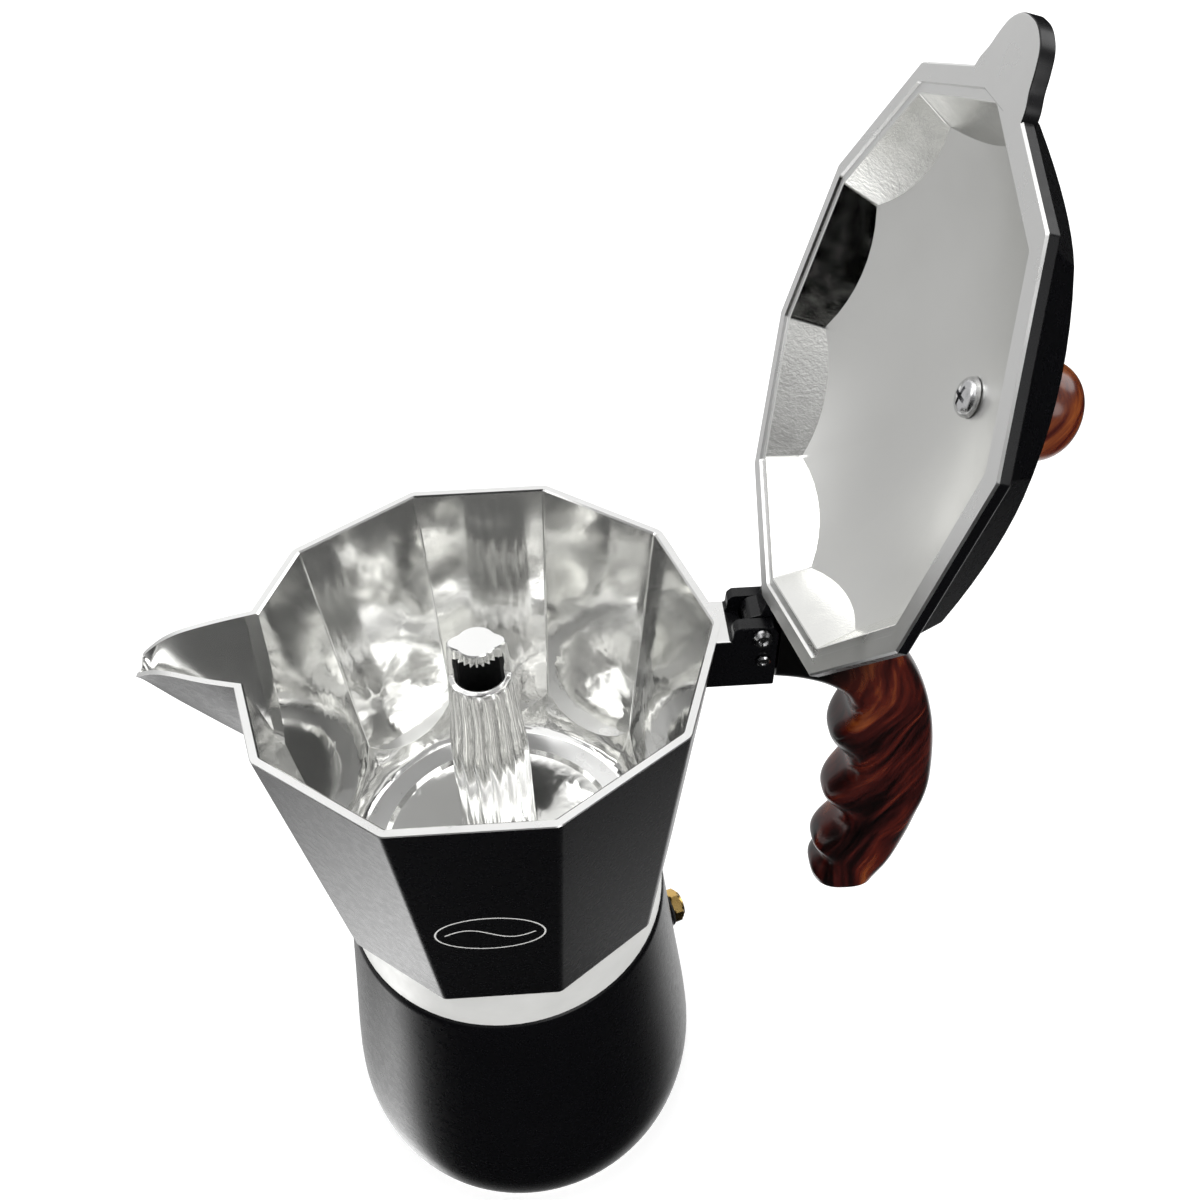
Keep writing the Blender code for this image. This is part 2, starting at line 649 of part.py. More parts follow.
def build_handle(material, axis):
    handle = make_object("handle", handle_shape(HANDLE_STATIONS, 14), material, axis)
    tongue_low = LUG_LOW_Z + 1.2 * MM + GAP
    outline = [(53.0 * MM, tongue_low + 0.8 * MM), (53.8 * MM, tongue_low), (66.0 * MM, tongue_low),
               (66.0 * MM, TONGUE_TOP_Z), (54.5 * MM, TONGUE_TOP_Z), (53.0 * MM, TONGUE_TOP_Z - 1.7 * MM)]
    tongue = make_object("tongue_shape", prism(outline, -KNUCKLE_HALF, KNUCKLE_HALF), parent=axis)
    combine(handle, tongue, 'UNION')
    lean = [(61.4 * MM, 190.0 * MM), (61.9 * MM, 186.5 * MM), (62.85 * MM, 186.5 * MM), (63.9 * MM, 190.2 * MM)]
    cutter = make_object("stop_face_cutter", prism(lean, -9.0 * MM, 9.0 * MM), parent=axis)
    combine(handle, cutter, 'DIFFERENCE')
    hole = along_y(turned([(PIN_R + GAP, -10.0 * MM), (PIN_R + GAP, 10.0 * MM)], 16))
    pin_hole = make_object("tongue_hole", hole, parent=axis, location=(HANDLE_PIN_X, 0.0, HANDLE_PIN_Z))
    combine(handle, pin_hole, 'DIFFERENCE')


# ---------------------------------------------------------------- lid

def dome_radius(height, top, edge_r, edge_z):
    """Radius of a spherical dome at a height."""
    rise = top - edge_z
    sphere = (edge_r ** 2 + rise ** 2) / (2 * rise)
    drop = max(top - height, 0.0)
    return math.sqrt(max(2 * sphere * drop - drop * drop, 0.0))


def lid_rings(offset, spread, heights):
    """Rings of the lid's skin, offset outwards from the inner face."""
    rings = []
    for height in heights:
        facet = LIP_INNER_R + spread - (LIP_INNER_R - DOME_R) * (height - offset * 0.5) / DOME_EDGE_Z
        round_r = dome_radius(height, DOME_TOP_Z + offset, DOME_R + offset * 1.2, DOME_EDGE_Z + offset * 0.9)
        rings.append(faceted_ring(facet, height, max(round_r, SCREW_HOLE_R)))
    return rings


def lid_shape():
    """Lip, ten flat facets and a round dome, with a hole for the knob screw."""
    outer_heights = [LIP_THICK, 6.0 * MM, 8.8 * MM, 10.0 * MM, 11.2 * MM, 12.6 * MM, 15.0 * MM, 18.0 * MM,
                     20.6 * MM, 22.3 * MM, DOME_TOP_Z + LID_WALL]
    inner_heights = [0.0, 4.0 * MM, 6.6 * MM, 7.8 * MM, 9.0 * MM, 10.4 * MM, 12.8 * MM, 15.6 * MM,
                     18.2 * MM, 20.0 * MM, DOME_TOP_Z]
    rings = [faceted_ring(LIP_R - 0.4 * MM, 0.0), faceted_ring(LIP_R, 0.4 * MM), faceted_ring(LIP_R, LIP_THICK)]
    rings += lid_rings(LID_WALL, SKIRT_SPREAD, outer_heights)
    rings += reversed(lid_rings(0.0, 0.0, inner_heights))
    return skin(rings, True)


def knuckle_outline():
    """Side view of the hinge barrel and its web, in the lid's frame."""
    centre = (HINGE_X, HINGE_Z - LIP_Z)
    barrel = arc(centre, BARREL_R, -125, 90, 12)
    return [(50.6 * MM, 0.3 * MM), (56.4 * MM, 0.3 * MM)] + barrel + [(50.6 * MM, 2.9 * MM)]


def tab_outline():
    """Plan of the thumb tab over the spout."""
    half = [(-49.0, 11.5), (-51.6, 10.8), (-53.8, 9.3), (-56.2, 8.2), (-58.6, 6.6), (-60.1, 4.2), (-60.8, 1.6)]
    far = [(x * MM, y * MM) for x, y in half]
    near = [(x, -y) for x, y in reversed(far)]
    return far + near


def build_lid(material, axis):
    place = (-HINGE_X, 0.0, LIP_Z - HINGE_Z)
    lid = make_object("lid", lid_shape(), material, axis, place)
    tab_rings = [[(x, y, z) for x, y in tab_outline()] for z in (0.0, TAB_THICK)]
    combine(lid, make_object("tab_shape", skin(tab_rings, False), parent=axis, location=place), 'UNION')
    web = prism(knuckle_outline(), -KNUCKLE_HALF, KNUCKLE_HALF)
    combine(lid, make_object("knuckle_shape", web, parent=axis, location=place), 'UNION')
    hole = along_y(turned([(PIN_R + GAP, -10.0 * MM), (PIN_R + GAP, 10.0 * MM)], 16))
    combine(lid, make_object("knuckle_hole", hole, parent=axis), 'DIFFERENCE')
    return place


def build_knob(wood, brass, steel, rubber, axis, place):
    insert_low = KNOB_LOW_Z + 0.2 * MM
    knob = [(3.6 * MM, KNOB_LOW_Z), (6.4 * MM, KNOB_LOW_Z), (6.2 * MM, KNOB_LOW_Z + 1.5 * MM),
            (7.2 * MM, 28.0 * MM), (8.8 * MM, 30.4 * MM), (KNOB_R, 33.2 * MM), (9.0 * MM, 36.2 * MM),
            (7.4 * MM, 38.8 * MM), (4.8 * MM, 40.4 * MM), (1.2 * MM, KNOB_TOP_Z), (0.5 * MM, KNOB_TOP_Z)]
    moulding = make_object("lid_knob", turned(knob, 28), wood, axis, place)
    bore = turned([(KNOB_BORE_R, KNOB_LOW_Z - 2.0 * MM), (KNOB_BORE_R, INSERT_TOP_Z + 0.6 * MM)], 20)
    combine(moulding, make_object("knob_bore_cutter", bore, parent=axis, location=place), 'DIFFERENCE')

    insert = [(SCREW_R + GAP, insert_low), (KNOB_BORE_R - GAP, insert_low),
              (KNOB_BORE_R - GAP, INSERT_TOP_Z), (SCREW_R + GAP, INSERT_TOP_Z)]
    make_object("knob_insert", turned(insert, 20, True), brass, axis, place)
    washer_low = DOME_TOP_Z + LID_WALL + GAP
    washer = [(2.5 * MM, washer_low), (6.0 * MM, washer_low), (6.0 * MM, washer_low + 0.9 * MM),
              (2.5 * MM, washer_low + 0.9 * MM)]
    make_object("knob_washer", turned(washer, 28, True), rubber, axis, place)

    head_z = DOME_TOP_Z - GAP
    screw = [(1.2 * MM, head_z - 1.9 * MM), (2.9 * MM, head_z - 1.6 * MM), (3.7 * MM, head_z - 0.8 * MM),
             (3.8 * MM, head_z), (SCREW_R, head_z), (SCREW_R, 31.8 * MM), (1.2 * MM, 32.4 * MM)]
    body = make_object("knob_screw", turned(screw, 20), steel, axis, place)
    for name, size in (("cross_a", (2.0 * MM, 0.35 * MM)), ("cross_b", (0.35 * MM, 2.0 * MM))):
        low = (-size[0], -size[1], head_z - 3.0 * MM)
        high = (size[0], size[1], head_z - 1.0 * MM)
        cutter = make_object(name, box(low, high), parent=axis, location=place)
        combine(body, cutter, 'DIFFERENCE')


# ---------------------------------------------------------------- assembly

def main():
    clear_scene()
    black = make_material("black_coating", (0.02, 0.02, 0.023), 0.4, 0.2)
    aluminium = make_material("bare_aluminium", (0.8, 0.8, 0.79), 0.25, 1.0)
    sheet = make_material("spun_aluminium", (0.76, 0.76, 0.76), 0.35, 1.0)
    brass = make_material("brass", (0.83, 0.62, 0.25), 0.3, 1.0)
    steel = make_material("bright_steel", (0.7, 0.7, 0.7), 0.25, 1.0)
    rubber = make_material("silicone", (0.75, 0.74, 0.7), 0.6, 0.0)
    fibre = make_material("black_fibre", (0.03, 0.03, 0.03), 0.7, 0.0)
    wood = make_material("wood_effect", (0.2, 0.05, 0.025), 0.35, 0.0)

    valve_axis = build_boiler(black)
    build_valve(brass, steel, fibre, valve_axis)
    build_funnel(sheet)

    rise_axis = make_axis("rise_axis", (0.0, 0.0, NECK_TOP_Z))
    build_seal(rubber, sheet, rise_axis)

    chamber_axis = make_axis("chamber_axis", (0.0, 0.0, 0.0))
    build_chamber(black, chamber_axis)
    build_column(aluminium, chamber_axis)
    build_handle(wood, chamber_axis)
    build_cross_pin("hinge_pin", HINGE_X, HINGE_Z, PIN_HEAD_R, 1.4 * MM, steel, chamber_axis)
    build_cross_pin("handle_pin", HANDLE_PIN_X, HANDLE_PIN_Z, 1.7 * MM, 0.6 * MM, steel, chamber_axis)

    lid_axis = make_axis("lid_axis", (HINGE_X, 0.0, HINGE_Z), chamber_axis, (0.0, OPEN_ANGLE, 0.0))
    place = build_lid(black, lid_axis)
    build_knob(wood, brass, steel, fibre, lid_axis, place)


main()
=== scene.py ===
"""Looks of the stovetop moka pot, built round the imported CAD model.

Lengths are millimetres in the model's frame: the origin is the centre of the boiler's underside,
+Z is up, +X points to the handle and the lid's hinge, -X to the spout. Meshes are scaled to metres
when they are made.
"""

import math

import bmesh
import bpy
from mathutils import Matrix, Vector


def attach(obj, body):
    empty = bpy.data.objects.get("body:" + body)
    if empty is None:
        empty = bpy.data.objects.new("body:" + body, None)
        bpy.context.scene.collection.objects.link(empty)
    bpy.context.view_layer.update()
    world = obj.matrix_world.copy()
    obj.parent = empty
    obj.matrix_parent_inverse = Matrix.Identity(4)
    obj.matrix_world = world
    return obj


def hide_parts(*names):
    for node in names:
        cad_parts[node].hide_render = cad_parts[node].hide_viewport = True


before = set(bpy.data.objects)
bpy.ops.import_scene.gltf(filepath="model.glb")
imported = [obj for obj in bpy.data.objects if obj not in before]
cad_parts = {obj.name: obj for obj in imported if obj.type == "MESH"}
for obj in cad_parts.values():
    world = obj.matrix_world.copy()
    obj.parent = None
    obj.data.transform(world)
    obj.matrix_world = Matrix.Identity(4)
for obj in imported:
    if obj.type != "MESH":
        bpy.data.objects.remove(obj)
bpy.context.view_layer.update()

MM = 0.001
GAP = 0.3                     # clearance between neighbours

# Upper chamber
SIDES = 10
RIM_Z = 184.1
RIM_R = 52.0                  # circumradius at the rim
BODY_Z = 107.3
BODY_R = 43.1
WALL = 2.1
FLOOR_Z = 109.0
UNDERSIDE_Z = 106.9
SKIRT_Z = 92.1
SKIRT_R = 40.6
SKIRT_BORE_R = 38.3
OUTER_CORNER = 2.6            # rounding of the decagon's edges
INNER_CORNER = 1.2
LIP_CORNER = 0.9
EMBLEM_Z = 141.5

# Boiler
NECK_Z = 91.8
NECK_TOP_Z = 103.0
NECK_R = 37.9
NECK_BORE_R = 34.8
THREAD_PITCH = 3.0
THREAD_DEPTH = 0.6
VALVE_AZIMUTH = math.radians(19.5)
VALVE_Z = 46.5
VALVE_FACE = 47.0

# Riser column
COLUMN_TOP_Z = 182.2
COLUMN_BORE_R = 4.3
COLLAR_Z = 172.9
CORE_R = 4.6
WINDOW_HIGH_Z = 178.9
WINDOW_HALF = 4.6
FLUTES = 14
FLUTE_DEPTH = 0.95
CROWN_FLUTES = 20

# Hinge
HINGE_X = 59.3
HINGE_Z = 185.4
OPEN_ANGLE = math.radians(105.0)
PIN_R = 1.2
BARREL_R = 3.2
CHEEK_INNER = 3.4
CHEEK_OUTER = 6.4
KNUCKLE_HALF = 3.1
LUG_START_X = 53.4
LUG_END_X = 62.9
LUG_LOW_Z = 170.4
LUG_TOP_Z = 187.9
HANDLE_PIN_X = 60.0
HANDLE_PIN_Z = 178.4

# Lid, in its own frame: the pot's axis at the lip's lower face, lid shut
LIP_Z = RIM_Z + GAP
LIP_R = 53.9
LIP_INNER_R = 49.2
LIP_THICK = 2.2
LID_WALL = 1.9
SKIRT_SPREAD = 3.1
DOME_R = 44.5
DOME_EDGE_Z = 7.3
DOME_TOP_Z = 21.0
SCREW_HOLE_R = 2.2
TAB_THICK = 2.6
KNOB_LOW_Z = 24.4
KNOB_TOP_Z = 41.0
KNOB_R = 9.34
INSERT_TOP_Z = 33.0

# Handle
NECK_HALF = 6.3
GRIP_HALF = 8.0
TONGUE_TOP_Z = 181.2


# --- mesh helpers

def new_object(name, points, faces, materials, slots=None, place=None):
    """An object from points in millimetres; slots gives the material of each face."""
    mesh = bpy.data.meshes.new(name)
    mesh.from_pydata([Vector(point) * MM for point in points], [], faces)
    for material in materials:
        mesh.materials.append(material)
    if slots:
        mesh.polygons.foreach_set("material_index", slots)
    work = bmesh.new()
    work.from_mesh(mesh)
    bmesh.ops.recalc_face_normals(work, faces=work.faces)
    work.to_mesh(mesh)
    work.free()
    item = bpy.data.objects.new(name, mesh)
    bpy.context.scene.collection.objects.link(item)
    if place is not None:
        item.matrix_world = place
    return item


def bake_modifiers(item):
    """Replace the mesh by what its modifiers make of it."""
    bpy.context.view_layer.update()
    graph = bpy.context.evaluated_depsgraph_get()
    result = bpy.data.meshes.new_from_object(item.evaluated_get(graph))
    item.modifiers.clear()
    item.data = result


def carve(target, tool, operation):
    """Join or cut the target with a closed object, which is used up."""
    modifier = target.modifiers.new("carve", 'BOOLEAN')
    modifier.operation = operation
    modifier.solver = 'EXACT'
    modifier.material_mode = 'TRANSFER'
    modifier.object = tool
    bake_modifiers(target)
    bpy.data.objects.remove(tool, do_unlink=True)


def smooth(item, degrees=24.0):
    """Smooth shading that keeps flats flat and edges sharper than an angle crisp."""
    item.data.shade_smooth()
    item.data.set_sharp_from_angle(angle=math.radians(degrees))
    modifier = item.modifiers.new("normals", 'WEIGHTED_NORMAL')
    modifier.keep_sharp = True
    bake_modifiers(item)
    return item


def round_edges(item, width, segments=3):
    """Bevel the sharp edges of a mesh, for good."""
    sharp = math.radians(30.0)
    work = bmesh.new()
    work.from_mesh(item.data)
    bmesh.ops.remove_doubles(work, verts=work.verts, dist=1e-7)
    edges = [edge for edge in work.edges
             if len(edge.link_faces) == 2 and edge.calc_face_angle() > sharp]
    bmesh.ops.bevel(work, geom=edges, offset=width * MM, offset_type='OFFSET', segments=segments,
                    profile=0.5, affect='EDGES', clamp_overlap=True)
    work.to_mesh(item.data)
    work.free()
    return item


def paint(item, rule):
    """Set each face's material from its centre (mm) and normal."""
    for face in item.data.polygons:
        face.material_index = rule(face.center / MM, face.normal)


def settle(item, body, slot, *nodes):
    """Fix a piece to its body, in place of CAD nodes, with its place baked into its points."""
    item.data.transform(item.matrix_world)
    item.matrix_world = Matrix.Identity(4)
    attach(item, body)
    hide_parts(*nodes)


def skin(rings, closed):
    """Skin equal-length rings: points, faces and the ring that each face starts from."""
    points = [point for ring in rings for point in ring]
    count = len(rings[0])
    faces = []
    spans = []
    for row in range(len(rings) if closed else len(rings) - 1):
        low = row * count
        high = ((row + 1) % len(rings)) * count
        for column in range(count):
            nxt = (column + 1) % count
            faces.append((low + column, low + nxt, high + nxt, high + column))
            spans.append(row)
    if not closed:
        faces.append(tuple(range(count)))
        faces.append(tuple(range((len(rings) - 1) * count, len(rings) * count)))
        spans += [0, len(rings) - 2]
    return points, faces, spans


def skinned(name, rings, closed, materials, slots=None, place=None):
    """An object from rings; slots gives the material from each ring to the next."""
    points, faces, spans = skin(rings, closed)
    face_slots = [slots[span] for span in spans] if slots else None
    return new_object(name, points, faces, materials, face_slots, place)


def polar_ring(height, count, reach):
    """A level ring whose radius is a function of the angle."""
    ring = []
    for step in range(count):
        angle = 2 * math.pi * step / count
        radius = reach(angle)
        ring.append((radius * math.cos(angle), radius * math.sin(angle), height))
    return ring


def circle(radius, height, count):
    return polar_ring(height, count, lambda angle: radius)


def turned(name, profile, count, materials, place=None, closed=False):
    """A shape turned about Z from (radius, height) points."""
    rings = [circle(radius, height, count) for radius, height in profile]
    return skinned(name, rings, closed, materials, None, place)


def seal_ring(name, bore_r, outer_r, low, thick, count, material, place):
    """A flat washer with its outer edges eased."""
    ease = 0.2
    profile = [(bore_r, low), (outer_r - ease, low), (outer_r, low + ease), (outer_r, low + thick - ease),
               (outer_r - ease, low + thick), (bore_r, low + thick)]
    return smooth(turned(name, profile, count, (material,), place, True))


def drill(target, radius, low, high, count, material, place=None):
    """Cut a round hole along a place's Z axis, between two heights."""
    cutter = turned("hole", [(radius, low), (radius, high)], count, (material,), place)
    carve(target, cutter, 'DIFFERENCE')


def drill_for_pin(target, x, z, material):
    """Cut the clearance hole of a cross pin."""
    drill(target, PIN_R + GAP, -10.0, 10.0, 32, material, cross_place(x, z))


def prism(name, outline, low, high, materials, axis='Y'):
    """Extrude an outline: (x, z) points along Y, or (x, y) points along Z."""
    if axis == 'Y':
        rings = [[(x, value, z) for x, z in outline] for value in (low, high)]
    else:
        rings = [[(x, y, value) for x, y in outline] for value in (low, high)]
    return skinned(name, rings, False, materials)


def box(name, low, high, materials):
    """A block between two opposite corners."""
    outline = [(low[0], low[2]), (high[0], low[2]), (high[0], high[2]), (low[0], high[2])]
    return prism(name, outline, low[1], high[1], materials)


def cross_place(x, z):
    """Lay a turned shape along +Y at a point of the mid plane."""
    return Matrix.Translation((x * MM, 0.0, z * MM)) @ Matrix.Rotation(math.radians(-90), 4, 'X')


def spline(knots, samples):
    """Sample a Catmull-Rom curve through points of any dimension."""
    padded = [knots[0]] + list(knots) + [knots[-1]]
    result = []
    for index in range(len(knots) - 1):
        group = padded[index:index + 4]
        for step in range(samples):
            t = step / samples
            result.append(tuple(
                0.5 * (2 * b + (c - a) * t + (2 * a - 5 * b + 4 * c - d) * t * t
                       + (3 * b - a - 3 * c + d) * t ** 3)
                for a, b, c, d in zip(*group)))
    result.append(tuple(knots[-1]))
    return result


def between(start, end, part):
    """The point at a part of the way from one flat point to another."""
    return (start[0] + (end[0] - start[0]) * part, start[1] + (end[1] - start[1]) * part)


def walk(points, count):
    """Place count points at equal steps along a polyline."""
    lengths = [0.0]
    for start, end in zip(points, points[1:]):
        lengths.append(lengths[-1] + math.dist(start, end))
    result = []
    index = 0
    for step in range(count):
        wanted = lengths[-1] * step / (count - 1)
        while index < len(points) - 2 and lengths[index + 1] < wanted:
            index += 1
        part = (wanted - lengths[index]) / (lengths[index + 1] - lengths[index])
        result.append(between(points[index], points[index + 1], part))
    return result


def eased(knots, position):
    """Read a smooth curve through (position, value) knots, level at every knot."""
    for (start, first), (end, second) in zip(knots, knots[1:]):
        if position <= end:
            part = (position - start) / (end - start)
            return first + (second - first) * (1 - math.cos(math.pi * part)) / 2
    return knots[-1][1]


def crossing(low, high, gap):
    """Bisect for the value where gap changes sign from negative to positive."""
    for _ in range(40):
        middle = (low + high) / 2
        if gap(middle) > 0:
            high = middle
        else:
            low = middle
    return (low + high) / 2


# --- decagon sections

def decagon(circumradius, corner_r, flat_steps=8, corner_steps=4):
    """Outline of a decagon with rounded corners, one of them on +X."""
    half = math.pi / SIDES
    reach = (circumradius * math.cos(half) - corner_r) / math.cos(half)
    arcs = []
    for side in range(SIDES):
        turn = 2 * half * side
        arc = []
        for step in range(corner_steps + 1):
            angle = turn + half * (2 * step / corner_steps - 1)
            arc.append((reach * math.cos(turn) + corner_r * math.cos(angle),
                        reach * math.sin(turn) + corner_r * math.sin(angle)))
        arcs.append(arc)
    outline = []
    for side in range(SIDES):
        outline += arcs[side]
        start, end = arcs[side][-1], arcs[(side + 1) % SIDES][0]
        outline += [between(start, end, step / flat_steps) for step in range(1, flat_steps)]
    return outline


# One direction for each column of the facets, so that round rings join on to them
DIRECTIONS = [Vector(point).normalized() for point in decagon(48.0, 1.5)]

# Side view of the bowl in the chamber's floor, as (radius, height)
BOWL = spline([(36.0, 109.0), (37.6, 109.9), (39.4, 112.4), (40.9, 115.6), (42.0, 118.6), (43.2, 122.6)], 6)


def facet_ring(circumradius, height, corner_r):
    """A level decagon ring."""
    return [(x, y, height) for x, y in decagon(circumradius, corner_r)]


def round_ring(radius, height):
    """A level round ring with a point for each of the decagon's."""
    return [(radius * direction.x, radius * direction.y, height) for direction in DIRECTIONS]


def facet_columns(low_r, low_z, high_r, high_z, corner_r):
    """For each column of a tapered decagon, a function that gives its point at a height."""
    low = decagon(low_r, corner_r)
    high = decagon(high_r, corner_r)

    def column(start, end):
        def point(height):
            return (*between(start, end, (height - low_z) / (high_z - low_z)), height)
        return point
    return [column(start, end) for start, end in zip(low, high)]


# --- materials

def add_node(tree, kind, sockets, **settings):
    """A shader node with its settings, and its inputs linked or set."""
    made = tree.nodes.new(kind)
    for key, value in settings.items():
        setattr(made, key, value)
    for key, value in sockets.items():
        if isinstance(value, bpy.types.NodeSocket):
            tree.links.new(value, made.inputs[key])
        else:
            made.inputs[key].default_value = value
    return made


class Shading:
    """Short calls for the shader nodes of one material."""

    def __init__(self, name, colour, roughness, metallic=0.0, specular=0.5, coat=0.0, coat_roughness=0.05):
        self.material = bpy.data.materials.new(name)
        self.material.use_nodes = True
        self.tree = self.material.node_tree
        self.shader = self.tree.nodes["Principled BSDF"]
        values = {"Base Color": (*colour, 1.0), "Roughness": roughness, "Metallic": metallic,
                  "Specular IOR Level": specular, "Coat Weight": coat, "Coat Roughness": coat_roughness}
        for key, value in values.items():
            self.shader.inputs[key].default_value = value
        self.place = self.tree.nodes.new("ShaderNodeTexCoord").outputs["Object"]
        self.normal = None

    def node(self, kind, sockets, **settings):
        return add_node(self.tree, kind, sockets, **settings)

    def stretch(self, scale, turn=(0.0, 0.0, 0.0)):
        """Object coordinates scaled and turned."""
        sockets = {"Vector": self.place, "Scale": scale, "Rotation": turn}
        return self.node("ShaderNodeMapping", sockets).outputs["Vector"]

    def noise(self, scale, detail=3.0, roughness=0.5, distortion=0.0, vector=None):
        sockets = {"Vector": vector or self.place, "Scale": scale, "Detail": detail,
                   "Roughness": roughness, "Distortion": distortion}
        return self.node("ShaderNodeTexNoise", sockets).outputs["Fac"]

    def radius(self):
        """Distance from the object's Z axis, in metres."""
        flat = self.node("ShaderNodeVectorMath", {0: self.place, 1: (1.0, 1.0, 0.0)}, operation='MULTIPLY')
        length = self.node("ShaderNodeVectorMath", {0: flat.outputs["Vector"]}, operation='LENGTH')
        return length.outputs["Value"]

    def part(self, name, vector=None):
        """X, Y or Z of a vector."""
        return self.node("ShaderNodeSeparateXYZ", {0: vector or self.place}).outputs[name]

    def math(self, operation, first, second=0.0):
        return self.node("ShaderNodeMath", {0: first, 1: second}, operation=operation).outputs["Value"]

    def remap(self, value, from_low, from_high, low, high, smooth_step=False):
        sockets = {"Value": value, "From Min": from_low, "From Max": from_high,
                   "To Min": low, "To Max": high}
        kind = 'SMOOTHSTEP' if smooth_step else 'LINEAR'
        return self.node("ShaderNodeMapRange", sockets, interpolation_type=kind).outputs["Result"]

    def ramp(self, value, stops):
        """A colour ramp from (position, colour) stops."""
        made = self.node("ShaderNodeValToRGB", {"Fac": value})
        elements = made.color_ramp.elements
        while len(elements) < len(stops):
            elements.new(0.5)
        for element, (position, colour) in zip(elements, stops):
            element.position = position
            element.color = (*colour, 1.0)
        return made.outputs["Color"]

    def mix(self, factor, first, second):
        """Blend two colours, which are the node's inputs 6 and 7."""
        sockets = {0: factor}
        for key, value in ((6, first), (7, second)):
            sockets[key] = value if isinstance(value, bpy.types.NodeSocket) else (*value, 1.0)
        return self.node("ShaderNodeMix", sockets, data_type='RGBA').outputs[2]

    def colour(self, socket):
        self.tree.links.new(socket, self.shader.inputs["Base Color"])

    def roughness(self, socket):
        self.tree.links.new(socket, self.shader.inputs["Roughness"])

    def mottle(self, scale, detail, first, second):
        """Base colour that wanders between two colours."""
        self.colour(self.mix(self.noise(scale, detail), first, second))

    def uneven(self, scale, detail, low, high):
        """Roughness that wanders between two values."""
        self.roughness(self.remap(self.noise(scale, detail), 0.3, 0.7, low, high))

    def bump(self, height, millimetres, strength=1.0):
        """Add relief; each call stacks on the one before."""
        sockets = {"Height": height, "Distance": millimetres * MM, "Strength": strength}
        made = self.node("ShaderNodeBump", sockets)
        if self.normal:
            self.tree.links.new(self.normal, made.inputs["Normal"])
        self.normal = made.outputs["Normal"]
        self.tree.links.new(self.normal, self.shader.inputs["Normal"])


def black_coating():
    """Satin black coating with a fine sprayed grain."""
    look = Shading("black_satin_coating", (0.0022, 0.0022, 0.003), 0.28, specular=0.36)
    look.mottle(35.0, 4.0, (0.0018, 0.0018, 0.0026), (0.0032, 0.0032, 0.004))
    look.uneven(600.0, 3.0, 0.25, 0.31)
    look.bump(look.noise(2400.0, 2.0), 0.0035, 0.5)
    return look.material


def polished_aluminium():
    """Tumbled bright casting: slow waves, and small dents that gather towards the floor."""
    look = Shading("polished_aluminium", (0.9, 0.9, 0.885), 0.1, metallic=0.94)
    look.mottle(40.0, 5.0, (0.82, 0.82, 0.805), (0.95, 0.95, 0.935))
    look.roughness(look.remap(look.noise(70.0, 5.0, 0.6), 0.3, 0.7, 0.04, 0.13))
    look.bump(look.noise(30.0, 2.0, 0.4, 0.3), 0.35, 0.5)
    low = look.remap(look.part("Z"), 168.0 * MM, 118.0 * MM, 0.06, 1.0)
    look.bump(look.math('MULTIPLY', look.noise(125.0, 2.0, 0.5, 0.3), low), 0.42, 0.5)
    look.bump(look.noise(1500.0, 2.0), 0.005, 0.5)
    return look.material


def column_aluminium():
    """The bright fluted tube, barely waved."""
    look = Shading("fluted_aluminium", (0.93, 0.93, 0.92), 0.14, metallic=0.9)
    look.mottle(60.0, 4.0, (0.86, 0.86, 0.85), (0.96, 0.96, 0.95))
    look.uneven(90.0, 4.0, 0.08, 0.2)
    look.bump(look.noise(1.0, 3.0, 0.5, 0.0, look.stretch((700.0, 700.0, 60.0))), 0.12, 0.5)
    return look.material


def turned_aluminium(name, shade, rough, depth=0.008):
    """Lathe-turned aluminium: fine rings about the axis."""
    look = Shading(name, shade, rough, metallic=1.0)
    look.mottle(90.0, 4.0, tuple(v * 0.93 for v in shade), shade)
    look.uneven(120.0, 4.0, rough - 0.05, rough + 0.07)
    ring = look.node("ShaderNodeCombineXYZ", {0: look.radius(), 1: look.part("Z"), 2: 0.0}).outputs[0]
    look.bump(look.noise(2600.0, 2.0, 0.6, 0.0, ring), depth, 0.8)
    look.bump(look.noise(300.0, 2.0), 0.01, 0.4)
    return look.material


def satin_aluminium():
    """Blasted casting: a fine, even grain."""
    look = Shading("satin_aluminium", (0.8, 0.8, 0.775), 0.36, metallic=1.0)
    look.mottle(22.0, 4.0, (0.72, 0.72, 0.7), (0.83, 0.83, 0.81))
    look.uneven(60.0, 4.0, 0.28, 0.4)
    look.bump(look.noise(1700.0, 3.0, 0.6), 0.012, 0.7)
    look.bump(look.noise(24.0, 2.0), 0.8, 0.3)
    return look.material


def grained_aluminium():
    """The lid's bright facets: a mirror broken up by a fine cast grain."""
    look = Shading("grained_aluminium", (0.86, 0.86, 0.83), 0.16, metallic=1.0)
    look.mottle(60.0, 4.0, (0.78, 0.78, 0.75), (0.9, 0.9, 0.88))
    look.uneven(300.0, 4.0, 0.12, 0.26)
    look.bump(look.noise(1400.0, 4.0, 0.65), 0.06, 0.6)
    look.bump(look.noise(90.0, 2.0), 0.1, 0.35)
    return look.material


def blasted_ring():
    """The pale, nearly matt band of the threaded skirt."""
    look = Shading("blasted_pale_ring", (0.8, 0.8, 0.78), 0.42, metallic=0.35)
    look.mottle(120.0, 4.0, (0.7, 0.7, 0.68), (0.84, 0.84, 0.82))
    look.uneven(500.0, 3.0, 0.36, 0.48)
    look.bump(look.noise(1.0, 2.0, 0.5, 0.0, look.stretch((150.0, 150.0, 4000.0))), 0.012, 0.7)
    return look.material


